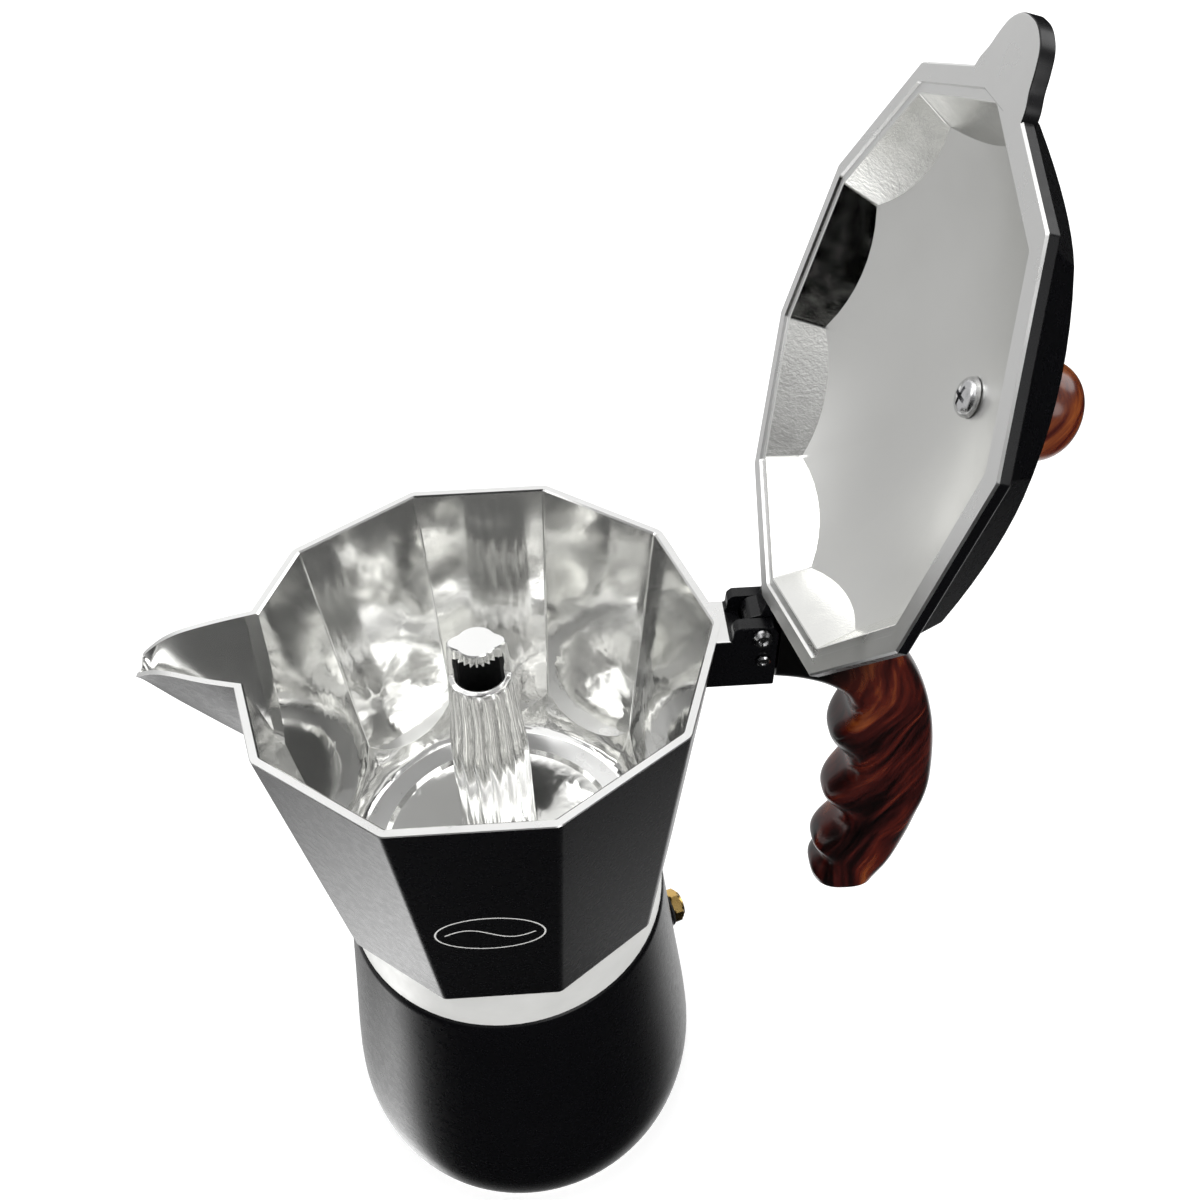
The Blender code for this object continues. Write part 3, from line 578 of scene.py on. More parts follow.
def wood_effect(name, lift=0.0, black_from=None):
    """Moulded plastic printed with flowing grain: dark red-brown lines under a gloss coat."""
    look = Shading(name, (0.1, 0.015, 0.008), 0.3, coat=0.5, coat_roughness=0.1)
    warp = look.noise(20.0, 2.0, 0.5, 0.4)
    warp_two = look.noise(24.0, 2.0, 0.5, 0.6, look.stretch((1.0, 1.0, 1.0), (0.4, 0.9, 0.0)))
    push = look.node("ShaderNodeCombineXYZ", {0: look.math('MULTIPLY', warp, 0.045), 1: 0.0,
                                              2: look.math('MULTIPLY', warp_two, 0.04)}).outputs[0]
    moved = look.node("ShaderNodeVectorMath", {0: look.place, 1: push}, operation='ADD').outputs["Vector"]
    lean = look.node("ShaderNodeMapping", {"Vector": moved, "Rotation": (0.0, math.radians(-32), 0.0)})
    flow = look.node("ShaderNodeMapping", {"Vector": lean.outputs["Vector"], "Scale": (1.0, 0.5, 0.13)})
    lines = look.noise(330.0, 3.0, 0.6, 0.1, flow.outputs["Vector"])
    broad = look.noise(110.0, 3.0, 0.5, 0.2, flow.outputs["Vector"])
    grain = look.math('ADD', look.math('MULTIPLY', lines, 0.45), look.math('MULTIPLY', broad, 0.55))
    grain = look.math('ADD', grain, lift)
    wood = look.ramp(grain, [(0.38, (0.0012, 0.0003, 0.0003)), (0.45, (0.01, 0.0008, 0.0008)),
                             (0.51, (0.034, 0.0022, 0.0015)), (0.57, (0.07, 0.006, 0.002)),
                             (0.65, (0.17, 0.035, 0.006)), (0.74, (0.3, 0.085, 0.015))])
    if black_from:
        reach = look.math('SUBTRACT', look.part("X"), look.math('MULTIPLY', look.part("Z"), 0.55))
        fade = look.remap(reach, (black_from - 12.0) * MM, (black_from + 6.0) * MM, 0.0, 1.0, True)
        wood = look.mix(fade, (0.0012, 0.001, 0.001), wood)
    look.colour(wood)
    look.roughness(look.remap(grain, 0.35, 0.7, 0.34, 0.24))
    look.bump(grain, 0.08, 0.4)
    return look.material


def machined_brass():
    """Brass with fine lines along the bar that it was cut from."""
    look = Shading("machined_brass", (0.78, 0.52, 0.16), 0.26, metallic=1.0)
    look.mottle(240.0, 4.0, (0.55, 0.33, 0.08), (0.88, 0.62, 0.24))
    look.uneven(400.0, 4.0, 0.18, 0.34)
    look.bump(look.noise(1.0, 2.0, 0.5, 0.0, look.stretch((4200.0, 300.0, 300.0))), 0.01, 0.7)
    return look.material


def bright_steel():
    """Plated steel of the pins, screw and spring."""
    look = Shading("bright_plated_steel", (0.74, 0.74, 0.75), 0.2, metallic=1.0)
    look.mottle(300.0, 3.0, (0.62, 0.62, 0.63), (0.8, 0.8, 0.81))
    look.uneven(700.0, 3.0, 0.14, 0.28)
    look.bump(look.noise(2200.0, 2.0), 0.006, 0.6)
    return look.material


def soft_material(name, light, dark, rough, grain):
    """Silicone or fibre: matt, with a faint mottled grain."""
    look = Shading(name, light, rough)
    look.mottle(grain * 0.2, 4.0, dark, light)
    look.uneven(grain, 3.0, rough - 0.08, rough + 0.08)
    look.bump(look.noise(grain * 2.0, 3.0), 0.02, 0.6)
    return look.material


# --- boiler and valve

def boiler_profile():
    """Outer (radius, height) of the bell above its foot chamfer."""
    bell = [(46.8, 1.3), (48.6, 6.5), (49.5, 13.5), (49.5, 20.0), (48.7, 29.0), (47.5, 39.4),
            (45.0, 59.2), (42.6, 78.9), (41.2, 90.6)]
    return spline(bell, 6)


def threaded_ring(height, count):
    """A ring of the neck, cut in by the helical thread."""
    inset = 1.2
    fade = min(1.0, (height - NECK_Z) / inset, (NECK_TOP_Z - inset - height) / inset)

    def reach(angle):
        wave = 0.5 - 0.5 * math.cos(2 * math.pi * height / THREAD_PITCH - angle)
        return NECK_R - THREAD_DEPTH * wave * max(0.0, fade)

    return polar_ring(height, count, reach)


def build_boiler(coating, bare, inside):
    """Bell, threaded neck and floor in one skin, with the valve's pad and hole."""
    count = 144
    outer = boiler_profile()
    foot = [(45.4, 0.0), (45.7, 0.12)]
    shoulder = [(40.8, 91.4), (40.3, NECK_Z), (NECK_R, NECK_Z)]
    rings = [circle(radius, height, count) for radius, height in foot + outer + shoulder]
    slots = [1, 1] + [0] * len(outer) + [0, 1, 1]
    chamfer = 0.6
    thread_high = NECK_TOP_Z - chamfer
    steps = 40
    rings += [threaded_ring(NECK_Z + (thread_high - NECK_Z) * step / steps, count)
              for step in range(1, steps)]
    slots += [1] * (steps - 1)
    top = [(NECK_R, thread_high), (NECK_R - chamfer, NECK_TOP_Z), (NECK_BORE_R + 0.3, NECK_TOP_Z),
           (NECK_BORE_R, NECK_TOP_Z - 0.3)]
    wall = [(radius - 2.4, height) for radius, height in reversed(outer) if 13.0 < height < 80.0]
    floor = [(46.6, 9.0), (45.2, 6.0), (42.5, 3.6), (39.0, 3.2), (20.0, 3.2), (20.0, 0.9), (38.0, 0.9),
             (39.0, 0.0)]
    within = [(NECK_BORE_R, 90.0)] + wall + floor
    rings += [circle(radius, height, count) for radius, height in top + within]
    slots += [1] * len(top) + [2] * len(within)
    boiler = skinned("boiler_bell", rings, True, (coating, bare, inside), slots)
    # the profile leaves a round hole in the floor, which this plate fills
    plate = turned("base_plate", [(21.0, 1.0), (21.0, 3.1)], 96, (inside,))
    carve(boiler, plate, 'UNION')
    pad_profile = [(6.2, 43.2), (6.2, VALVE_FACE - 0.3), (5.9, VALVE_FACE)]
    pad = turned("pad", pad_profile, 48, (coating,), valve_place())
    carve(boiler, pad, 'UNION')
    drill(boiler, 3.3, 39.0, 55.0, 32, inside, valve_place())
    smooth(boiler)
    settle(boiler, "boiler", "black_coating", "boiler")


def valve_place():
    """Z of a turned shape runs out along the valve's axis."""
    turn = Matrix.Rotation(VALVE_AZIMUTH, 4, 'Z') @ Matrix.Rotation(math.radians(90), 4, 'Y')
    return Matrix.Translation((0.0, 0.0, VALVE_Z * MM)) @ turn


def build_valve(brass, fibre):
    """Hexagon with turned chamfers on its corners, over a dark washer."""
    low = VALVE_FACE + 1.4
    high = low + 2.9
    end = high + 0.7
    corner = 4.9
    profile = [(2.0, 39.6), (3.0, 39.6), (3.0, low), (corner - 0.55, low), (corner, low + 0.4),
               (corner, high - 0.45), (corner - 0.7, high), (3.7, high + 0.1), (3.5, end - 0.1),
               (3.3, end), (1.2, end), (1.0, end - 0.2), (1.0, end - 1.6), (2.0, end - 1.6)]
    half = math.pi / 6

    def hexagon_radius(angle):
        return corner * math.cos(half) / math.cos((angle % (2 * half)) - half)

    rings = [polar_ring(height, 96, lambda angle, r=radius: min(r, hexagon_radius(angle)))
             for radius, height in profile]
    body = smooth(skinned("valve_hexagon", rings, True, (brass,), None, valve_place()))
    settle(body, "boiler", "brass", "valve_body")
    washer = seal_ring("valve_seal_ring", 3.4, 5.4, VALVE_FACE + 0.3, 0.8, 64, fibre, valve_place())
    settle(washer, "boiler", "black_fibre", "valve_washer")


# --- upper chamber

def body_radius(height):
    """Circumradius of the tapered outer facets."""
    return BODY_R + (RIM_R - BODY_R) * (height - BODY_Z) / (RIM_Z - BODY_Z)


def bowl_radius(height):
    """The round bowl that the inner facets run into, straight above its last knot."""
    for (start_r, start_z), (end_r, end_z) in zip(BOWL, BOWL[1:]):
        if height <= end_z or end_z == BOWL[-1][1]:
            return start_r + (end_r - start_r) * (height - start_z) / (end_z - start_z)


def cavity_rings():
    """Inner facets down to their curved ends, the bowl, the flat band and the dish."""
    top = RIM_Z - 0.35
    low = FLOOR_Z - 4.0
    columns = facet_columns(body_radius(low) - WALL, low, body_radius(top) - WALL, top, INNER_CORNER)
    ends = [crossing(FLOOR_Z, 150.0, lambda z, c=column: bowl_radius(z) - math.hypot(*c(z)[:2]))
            for column in columns]
    rings = []
    steps = 10
    for step in range(steps + 1):
        rings.append([column(top + (end - top) * step / steps) for column, end in zip(columns, ends)])
    steps = 16
    for step in range(1, steps + 1):
        ring = []
        for column, end in zip(columns, ends):
            height = end + (FLOOR_Z - end) * (step / steps)
            x, y, _ = column(end)
            scale = bowl_radius(height) / math.hypot(x, y)
            ring.append((x * scale, y * scale, height))
        rings.append(ring)
    return rings


def chamber_solid(coating, ring_metal, rim_metal):
    """The chamber before it is hollowed: threaded skirt, tapered facets and a flat top."""
    rings = []
    slots = []

    def add(ring, slot):
        rings.append(ring)
        slots.append(slot)

    skirt = [(3.0, UNDERSIDE_Z), (SKIRT_BORE_R, UNDERSIDE_Z), (SKIRT_BORE_R, SKIRT_Z + 0.3),
             (38.6, SKIRT_Z), (40.3, SKIRT_Z), (SKIRT_R, SKIRT_Z + 0.3), (SKIRT_R, BODY_Z - 0.5)]
    for radius, height in skirt:
        add(round_ring(radius, height), 1)
    add(round_ring(SKIRT_R - 0.15, BODY_Z), 0)
    add(facet_ring(BODY_R - 0.35, BODY_Z, OUTER_CORNER), 0)
    low_z = BODY_Z + 0.5
    high_z = RIM_Z - 0.2
    steps = 8
    for step in range(steps + 1):
        height = low_z + (high_z - low_z) * step / steps
        add(facet_ring(body_radius(height), height, OUTER_CORNER), 0 if step < steps else 2)
    add(facet_ring(RIM_R - 0.2, RIM_Z, OUTER_CORNER), 2)
    add(facet_ring(10.0, RIM_Z, OUTER_CORNER), 2)
    return skinned("chamber", rings, False, (coating, ring_metal, rim_metal), slots)


def front_face_point(x, height):
    """A point on the front facet, out by a printed line's thickness."""
    return (x, -body_radius(height) * math.cos(math.pi / SIDES) - 0.02, height)


def bean_lines():
    """The bean's outline and its wavy crease, as (x, z) points about its middle."""
    steps = 72
    half_width = 11.4
    half_height = 7.2
    outline = []
    for step in range(steps + 1):
        angle = 2 * math.pi * step / steps
        outline.append((half_width * math.cos(angle), half_height * math.sin(angle)))
    steps = 40
    reach = 9.4
    crease = [(-reach + 2 * reach * step / steps, 2.0 * math.sin(2 * math.pi * step / steps))
              for step in range(steps + 1)]
    return outline, crease


def build_emblem(silver):
    """A plain coffee bean in thin printed lines, on the front facet."""
    half_line = 0.19
    points = []
    faces = []
    for line in bean_lines():
        for index, (x, z) in enumerate(line):
            before = line[max(index - 1, 0)]
            after = line[min(index + 1, len(line) - 1)]
            length = math.hypot(after[0] - before[0], after[1] - before[1])
            side_x = -(after[1] - before[1]) / length * half_line
            side_z = (after[0] - before[0]) / length * half_line
            points.append(front_face_point(x + side_x, EMBLEM_Z + z + side_z))
            points.append(front_face_point(x - side_x, EMBLEM_Z + z - side_z))
            if index:
                last = len(points) - 1
                faces.append((last - 3, last - 2, last, last - 1))
    emblem = new_object("printed_bean_mark", points, faces, (silver,))
    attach(emblem, "upper_chamber")


def cavity_solid(polished, turned_face, rim_metal):
    """What is cut out: the rim's chamfer, the facets, the bowl, the flat band and the dish."""
    edge = facet_ring(RIM_R - WALL + 0.35, RIM_Z, INNER_CORNER)
    rings = [[(x, y, RIM_Z + 8.0) for x, y, _ in edge], edge]
    slots = [2, 0]
    walls = cavity_rings()
    rings += walls
    slots += [0] * len(walls)
    band = (35.7, 109.3)
    dish = [(30.4, 109.3), (30.0, 108.9), (29.4, 108.3), (27.0, 107.9), (23.0, 107.7), (18.0, 107.8),
            (14.0, 108.1), (11.5, 108.5), (9.0, 108.6), (1.0, 108.6)]
    for radius, height in [band] + dish:
        rings.append(round_ring(radius, height))
    slots += [1] + [0] * len(dish)
    return skinned("cavity", rings, False, (polished, turned_face, rim_metal), slots)


def build_chamber(coating, polished, turned_face, ring_metal, rim_metal):
    """Solid chamber, spout and lug joined, then hollowed and drilled."""
    chamber = chamber_solid(coating, ring_metal, rim_metal)
    carve(chamber, spout_solid(coating, rim_metal), 'UNION')
    lug = prism("lug", lug_outline(), -CHEEK_OUTER, CHEEK_OUTER, (coating, rim_metal))
    round_edges(lug, 0.5)
    paint(lug, lambda centre, normal: 1 if normal.z > 0.9 and centre.z < RIM_Z else 0)
    carve(chamber, lug, 'UNION')
    carve(chamber, cavity_solid(polished, turned_face, rim_metal), 'DIFFERENCE')
    carve(chamber, spout_channel(polished), 'DIFFERENCE')
    carve(chamber, prism("slot", slot_outline(), -CHEEK_INNER, CHEEK_INNER, (coating,)), 'DIFFERENCE')
    drill(chamber, 3.8, 100.0, 112.0, 48, polished)
    drill_for_pin(chamber, HINGE_X, HINGE_Z, coating)
    drill_for_pin(chamber, HANDLE_PIN_X, HANDLE_PIN_Z, coating)
    smooth(chamber)
    settle(chamber, "upper_chamber", "black_coating", "upper_chamber")


def spout_stations():
    """Distance out, half width at the lips, lip height and keel height along the spout."""
    return spline([(42.0, 12.5, 184.1, 143.4), (48.5, 11.0, 184.1, 150.4), (55.2, 9.2, 184.1, 157.6),
                   (61.9, 6.9, 184.1, 165.3), (66.0, 5.4, 183.3, 170.2), (69.2, 4.2, 181.6, 175.0),
                   (70.4, 3.6, 180.8, 179.0)], 5)


def spout_ring(distance, half_width, lip, keel, top):
    """A rounded V, closed above its lips at a height."""
    steps = 28
    ring = []
    for step in range(steps + 1):
        across = -1 + 2 * step / steps
        ring.append((-distance, across * half_width, keel + (lip - keel) * abs(across) ** 1.3))
    ring.append((-distance, half_width, top))
    ring.append((-distance, -half_width, top))
    return ring


def spout_solid(coating, rim_metal):
    """The spout before its channel is cut, bare on its lips and its tip."""
    rings = [spout_ring(x, w, lip - 0.02, keel, lip - 0.01) for x, w, lip, keel in spout_stations()]
    spout = skinned("spout", rings, False, (coating, rim_metal))
    paint(spout, lambda centre, normal: 1 if normal.z > 0.7 or centre.x < -70.3 else 0)
    return spout


def spout_channel(polished):
    """The pouring channel, cut through the wall and open at the tip."""
    wall = 1.3
    tip_half = 2.4
    above = 192.0
    rings = []
    for x, w, lip, keel in spout_stations():
        floor = min(keel + min(4.2, 1.0 + (lip - keel) * 0.35), lip - 1.2)
        rings.append(spout_ring(x, max(w - wall, tip_half), lip, floor, above))
    x, _, lip, _ = spout_stations()[-1]
    rings.append(spout_ring(x + 2.5, tip_half, lip, lip - 1.0, above))
    return skinned("channel", rings, False, (polished,))


def lug_outline():
    """Side view of the hinge cheeks."""
    shoulder = RIM_Z - 0.02
    root_x = 46.5
    return [(root_x, LUG_LOW_Z), (LUG_END_X, LUG_LOW_Z), (LUG_END_X, LUG_TOP_Z - 2.2),
            (LUG_END_X - 1.4, LUG_TOP_Z), (LUG_START_X + 1.0, LUG_TOP_Z), (LUG_START_X, LUG_TOP_Z - 1.0),
            (LUG_START_X - 0.2, shoulder), (root_x, shoulder)]


def slot_outline():
    """Gap between the cheeks: low for the handle's tongue, open above for the lid's knuckle."""
    front_x = 52.5
    barrel_x = 55.8
    end_x = 66.0
    low = LUG_LOW_Z + 1.2
    above = 195.0
    tongue_gap = 181.6
    web_floor = RIM_Z - 0.5
    web_start = LUG_START_X - 0.6
    return [(front_x, low), (end_x, low), (end_x, above), (web_start, above), (web_start, web_floor),
            (barrel_x, web_floor), (barrel_x, tongue_gap), (front_x, tongue_gap)]


# --- riser column

def fluted_ring(height, radius, count):
    """A ring of the tube, with flutes that fade at both ends."""
    depth = FLUTE_DEPTH * min(1.0, (height - 110.0) / 6.0) * min(1.0, (COLLAR_Z - height) / 3.0)
    sway = 0.03 * math.sin(height * 0.3)

    def reach(angle):
        return radius - max(0.0, depth) * (1 - abs(math.cos(FLUTES / 2 * (angle + sway))))

    return polar_ring(height, count, reach)


def crown_ring(height, count):
    """A ring of the top: a scalloped core with a lobe at each side, where the posts come up."""
    lobe = 6.35 + 0.7 * (COLUMN_TOP_Z - height) / (COLUMN_TOP_Z - COLLAR_Z)
    lobe_half_width = 34.0
    chamfer = 0.35
    cap = 0.4
    edge = min(chamfer, (COLUMN_TOP_Z - height) * 0.9) - chamfer
    below_cap = min(1.0, max(0.0, COLUMN_TOP_Z - cap - height) / cap)

    def reach(angle):
        swing = abs(math.degrees(math.asin(math.sin(angle))))
        part = max(0.0, 1 - swing / lobe_half_width)
        part = part * part * (3 - 2 * part)
        flute = FLUTE_DEPTH * (0.5 - 0.5 * math.cos(CROWN_FLUTES * angle)) * below_cap
        return CORE_R + (lobe - CORE_R) * part + edge - flute

    return polar_ring(height, count, reach)


def in_bore(centre):
    """True for the inside of the tube and of its windows, which is painted dark as shade."""
    return math.hypot(centre.x, centre.y) < 5.65 and COLLAR_Z - 60.0 < centre.z < WINDOW_HIGH_Z + 0.1


def build_column(metal, bore_shade):
    """A fluted tube with a collar, two posts and the crown that they carry, its bore painted dark as shade.
    """
    low = 108.8
    count = FLUTES * 12
    profile = spline([(10.6, low), (9.7, low + 2.4), (9.15, 120.0), (8.9, 148.0), (8.0, 158.0),
                      (7.35, 168.0), (7.15, COLLAR_Z - 1.2)], 8)
    collar = [(7.0, 0.6), (6.7, 0.3), (6.3, 0.2), (6.1, 0.02), (6.0, 0.0), (5.8, 0.0), (5.6, 0.2),
              (5.4, 5.0), (COLUMN_BORE_R, 7.0)]
    rings = [fluted_ring(height, radius, count) for radius, height in profile]
    rings += [circle(radius, COLLAR_Z - drop, count) for radius, drop in collar]
    rings.append(circle(COLUMN_BORE_R, low, count))
    column = skinned("riser_column", rings, True, (metal, bore_shade))
    heights = [COLLAR_Z - 3.0, 176.0, 179.0, 181.0, 181.6, 181.9, COLUMN_TOP_Z - 0.1, COLUMN_TOP_Z]
    crown = skinned("crown", [crown_ring(height, 240) for height in heights], False, (metal,))
    low_cut = COLLAR_Z - 4.0
    window = box("window", (-WINDOW_HALF, -12.0, low_cut), (WINDOW_HALF, 12.0, WINDOW_HIGH_Z), (metal,))
    carve(crown, window, 'DIFFERENCE')
    carve(column, crown, 'UNION')
    # painted shade: the bore and the windows' cut faces take the near-black fibre finish in place of bare
    # aluminium
    paint(column, lambda centre, normal: 1 if in_bore(centre) else 0)
    smooth(column, 40.0)
    settle(column, "upper_chamber", "bare_aluminium", "column")


# --- handle and pins

def handle_edges(count):
    """Matching points along the finger side and the outer side."""
    neck = [(63.2, 171.6), (69.0, 170.3), (75.0, 167.6), (79.6, 163.2)]
    grip_top = 157.0
    grip_end = 91.0
    fingers = [(-157.0, 82.0), (-147.8, 78.7), (-136.8, 84.4), (-125.1, 79.7), (-115.9, 85.3),
               (-104.2, 79.4), (-98.2, 82.2), (-92.3, 80.1), (-91.0, 80.4)]
    inner = spline(neck + [(fingers[0][1], grip_top)], 10)
    steps = 160
    for step in range(1, steps + 1):
        height = grip_top + (grip_end - grip_top) * step / steps
        inner.append((eased(fingers, -height), height))
    outer = spline([(63.2, 188.8), (70.0, 188.2), (82.0, 182.4), (94.8, 169.1), (101.8, 152.2),
                    (105.2, 131.2), (104.2, 118.0), (102.9, 108.0), (100.4, 98.5), (97.2, 91.0)], 12)
    return walk(inner, count), walk(outer, count)


def handle_section(inner, outer, half_thick, squareness, count):
    """A rounded cross-section between two edge points."""
    middle = ((inner[0] + outer[0]) / 2, (inner[1] + outer[1]) / 2)
    reach = ((outer[0] - inner[0]) / 2, (outer[1] - inner[1]) / 2)
    ring = []
    for step in range(count):
        angle = 2 * math.pi * step / count
        along = math.copysign(abs(math.cos(angle)) ** (2 / squareness), math.cos(angle))
        across = math.copysign(abs(math.sin(angle)) ** (2 / squareness), math.sin(angle))
        ring.append((middle[0] + reach[0] * along, half_thick * across, middle[1] + reach[1] * along))
    return ring


def build_handle(wood):
    """Square at the neck, oval in the grip, rounded at its end."""
    stations = 170
    count = 64
    inner, outer = handle_edges(stations)
    rings = []
    for index, (low, high) in enumerate(zip(inner, outer)):
        part = index / (stations - 1)
        squareness = 6.5 - 3.8 * min(1.0, part / 0.25)
        thick = NECK_HALF + (GRIP_HALF - NECK_HALF) * min(1.0, part / 0.35)
        rings.append(handle_section(low, high, thick, squareness, count))
    low, high = inner[-1], outer[-1]
    middle = ((low[0] + high[0]) / 2, (low[1] + high[1]) / 2)
    steps = 10
    for step in range(1, steps + 1):
        angle = math.pi / 2 * step / steps
        shrink = max(math.cos(angle) ** 0.55, 0.03)
        drop = 2.5 * math.sin(angle)
        ends = [(middle[0] + (x - middle[0]) * shrink, middle[1] - drop + (z - middle[1]) * shrink)
                for x, z in (low, high)]
        rings.append(handle_section(ends[0], ends[1], GRIP_HALF * shrink, 2.7, count))
    handle = skinned("handle_moulding", rings, False, (wood,))
    tongue_low = LUG_LOW_Z + 1.5
    outline = [(53.0, tongue_low + 0.8), (53.8, tongue_low), (66.0, tongue_low), (66.0, TONGUE_TOP_Z),
               (54.5, TONGUE_TOP_Z), (53.0, 179.5)]
    carve(handle, prism("tongue", outline, -KNUCKLE_HALF, KNUCKLE_HALF, (wood,)), 'UNION')
    # the front face leans back, so that the open lid's web has room
    lean = [(61.4, 190.0), (61.9, 186.5), (62.85, 186.5), (63.9, 190.2)]
    carve(handle, prism("lean", lean, -9.0, 9.0, (wood,)), 'DIFFERENCE')
    drill_for_pin(handle, HANDLE_PIN_X, HANDLE_PIN_Z, wood)
    smooth(handle, 38.0)
    settle(handle, "upper_chamber", "wood_effect", "handle")


def build_pin(name, node, x, z, head_r, head_thick, steel):
    """A cross pin: dished head on the near side, peened end on the far side."""
    face = CHEEK_OUTER + 0.3
    profile = [(0.3, -face - head_thick * 0.55), (head_r * 0.35, -face - head_thick * 0.6),
               (head_r * 0.5, -face - head_thick), (head_r * 0.75, -face - head_thick),
               (head_r, -face - head_thick * 0.5), (head_r, -face), (PIN_R, -face), (PIN_R, face),
               (PIN_R - 0.3, face + 0.3)]
    pin = smooth(turned(name, profile, 40, (steel,), cross_place(x, z)))
    settle(pin, "upper_chamber", "bright_steel", node)


# --- lid

def lid_place():
    """From the lid's own frame, shut, to its open place."""
    shut = Matrix.Translation((-HINGE_X * MM, 0.0, (LIP_Z - HINGE_Z) * MM))
    hinge = Matrix.Translation((HINGE_X * MM, 0.0, HINGE_Z * MM))
    return hinge @ Matrix.Rotation(OPEN_ANGLE, 4, 'Y') @ shut


def dome_rings(base_r, spread, offset, start_z, facet_steps, dome_steps):
    """Facets up to their curved ends, then the dome up to the screw hole."""
    slope = (LIP_INNER_R - DOME_R) / DOME_EDGE_Z
    edge_r = DOME_R + offset * 1.2
    edge_z = DOME_EDGE_Z + offset * 0.9
    top = DOME_TOP_Z + offset
    sphere = (edge_r ** 2 + (top - edge_z) ** 2) / (2 * (top - edge_z))
    corner = INNER_CORNER if offset == 0 else LIP_CORNER
    high_z = 14.0
    start_r = base_r + spread - slope * (start_z - offset / 2)
    high_r = base_r + spread - slope * (high_z - offset / 2)
    columns = facet_columns(start_r, start_z, high_r, high_z, corner)

    def dome_z(radius):
        return top - sphere + math.sqrt(sphere ** 2 - radius ** 2)

    ends = [crossing(start_z, high_z, lambda z, c=column: z - dome_z(math.hypot(*c(z)[:2])))
            for column in columns]
    rings = []
    for step in range(facet_steps + 1):
        part = step / facet_steps
        rings.append([column(start_z + (end - start_z) * part) for column, end in zip(columns, ends)])
    for step in range(1, dome_steps + 1):
        ring = []
        for column, end in zip(columns, ends):
            x, y, _ = column(end)
            edge = math.hypot(x, y)
            radius = edge + (SCREW_HOLE_R - edge) * step / dome_steps
            ring.append((x * radius / edge, y * radius / edge, dome_z(radius)))
        rings.append(ring)
    return rings


def lid_shell(coating, satin, polished, lip_metal):
    """Lip, facets and dome, skinned from the lip's lower edge up, over and back down inside."""
    facet_steps = 6
    dome_steps = 30
    inside_low = 0.75
    rings = [facet_ring(LIP_R - 0.35, 0.0, LIP_CORNER), facet_ring(LIP_R, 0.35, LIP_CORNER),
             facet_ring(LIP_R, LIP_THICK - 0.3, LIP_CORNER), facet_ring(LIP_R - 0.3, LIP_THICK, LIP_CORNER)]
    outer = dome_rings(LIP_INNER_R, SKIRT_SPREAD, LID_WALL, LIP_THICK, facet_steps, dome_steps)
    inner = dome_rings(LIP_INNER_R, 0.0, 0.0, inside_low, facet_steps, dome_steps)
    step_down = [(LIP_INNER_R - 0.25, 0.6), (LIP_INNER_R + 1.2, 0.55), (LIP_INNER_R + 1.45, 0.0)]
    rings += outer + inner[::-1]
    rings += [facet_ring(radius, height, INNER_CORNER) for radius, height in step_down]
    slots = [3, 0, 0, 0] + [0] * len(outer)
    slots += [1] * dome_steps + [2] * (facet_steps + 1) + [3] * len(step_down)
    return skinned("lid_shell", rings, True, (coating, satin, polished, lip_metal), slots)


def thumb_tab(coating, lip_metal):
    """The rounded tab over the spout, bare below like the lip."""
    half = [(-49.0, 11.5), (-51.6, 10.8), (-53.8, 9.3), (-56.2, 8.2), (-58.6, 6.6), (-60.1, 4.2),
            (-60.8, 1.6)]
    far = spline(half + [(-60.8, -1.6)], 5)[:-3]
    outline = far + [(x, -y) for x, y in reversed(far)]
    tab = prism("tab", outline, 0.0, TAB_THICK, (coating, lip_metal), 'Z')
    round_edges(tab, 0.45)
    paint(tab, lambda centre, normal: 1 if normal.z < -0.8 else 0)
    return tab


def knuckle(coating, centre_z):
    """The hinge barrel with the web that joins it to the lip."""
    barrel = []
    for degrees in range(-125, 91, 9):
        angle = math.radians(degrees)
        barrel.append((HINGE_X + BARREL_R * math.cos(angle), centre_z + BARREL_R * math.sin(angle)))
    outline = [(50.6, 0.3), (56.4, 0.3)] + barrel + [(50.6, 2.9)]
    return round_edges(prism("web", outline, -KNUCKLE_HALF, KNUCKLE_HALF, (coating,)), 0.3, 2)


def build_lid(coating, satin, polished, lip_metal):
    """Black outside and bare inside, with its thumb tab and hinge knuckle, swung open."""
    lid = lid_shell(coating, satin, polished, lip_metal)
    carve(lid, thumb_tab(coating, lip_metal), 'UNION')
    centre_z = HINGE_Z - LIP_Z
    carve(lid, knuckle(coating, centre_z), 'UNION')
    drill_for_pin(lid, HINGE_X, centre_z, coating)
    smooth(lid)
    lid.matrix_world = lid_place()
    settle(lid, "lid", "black_coating", "lid")


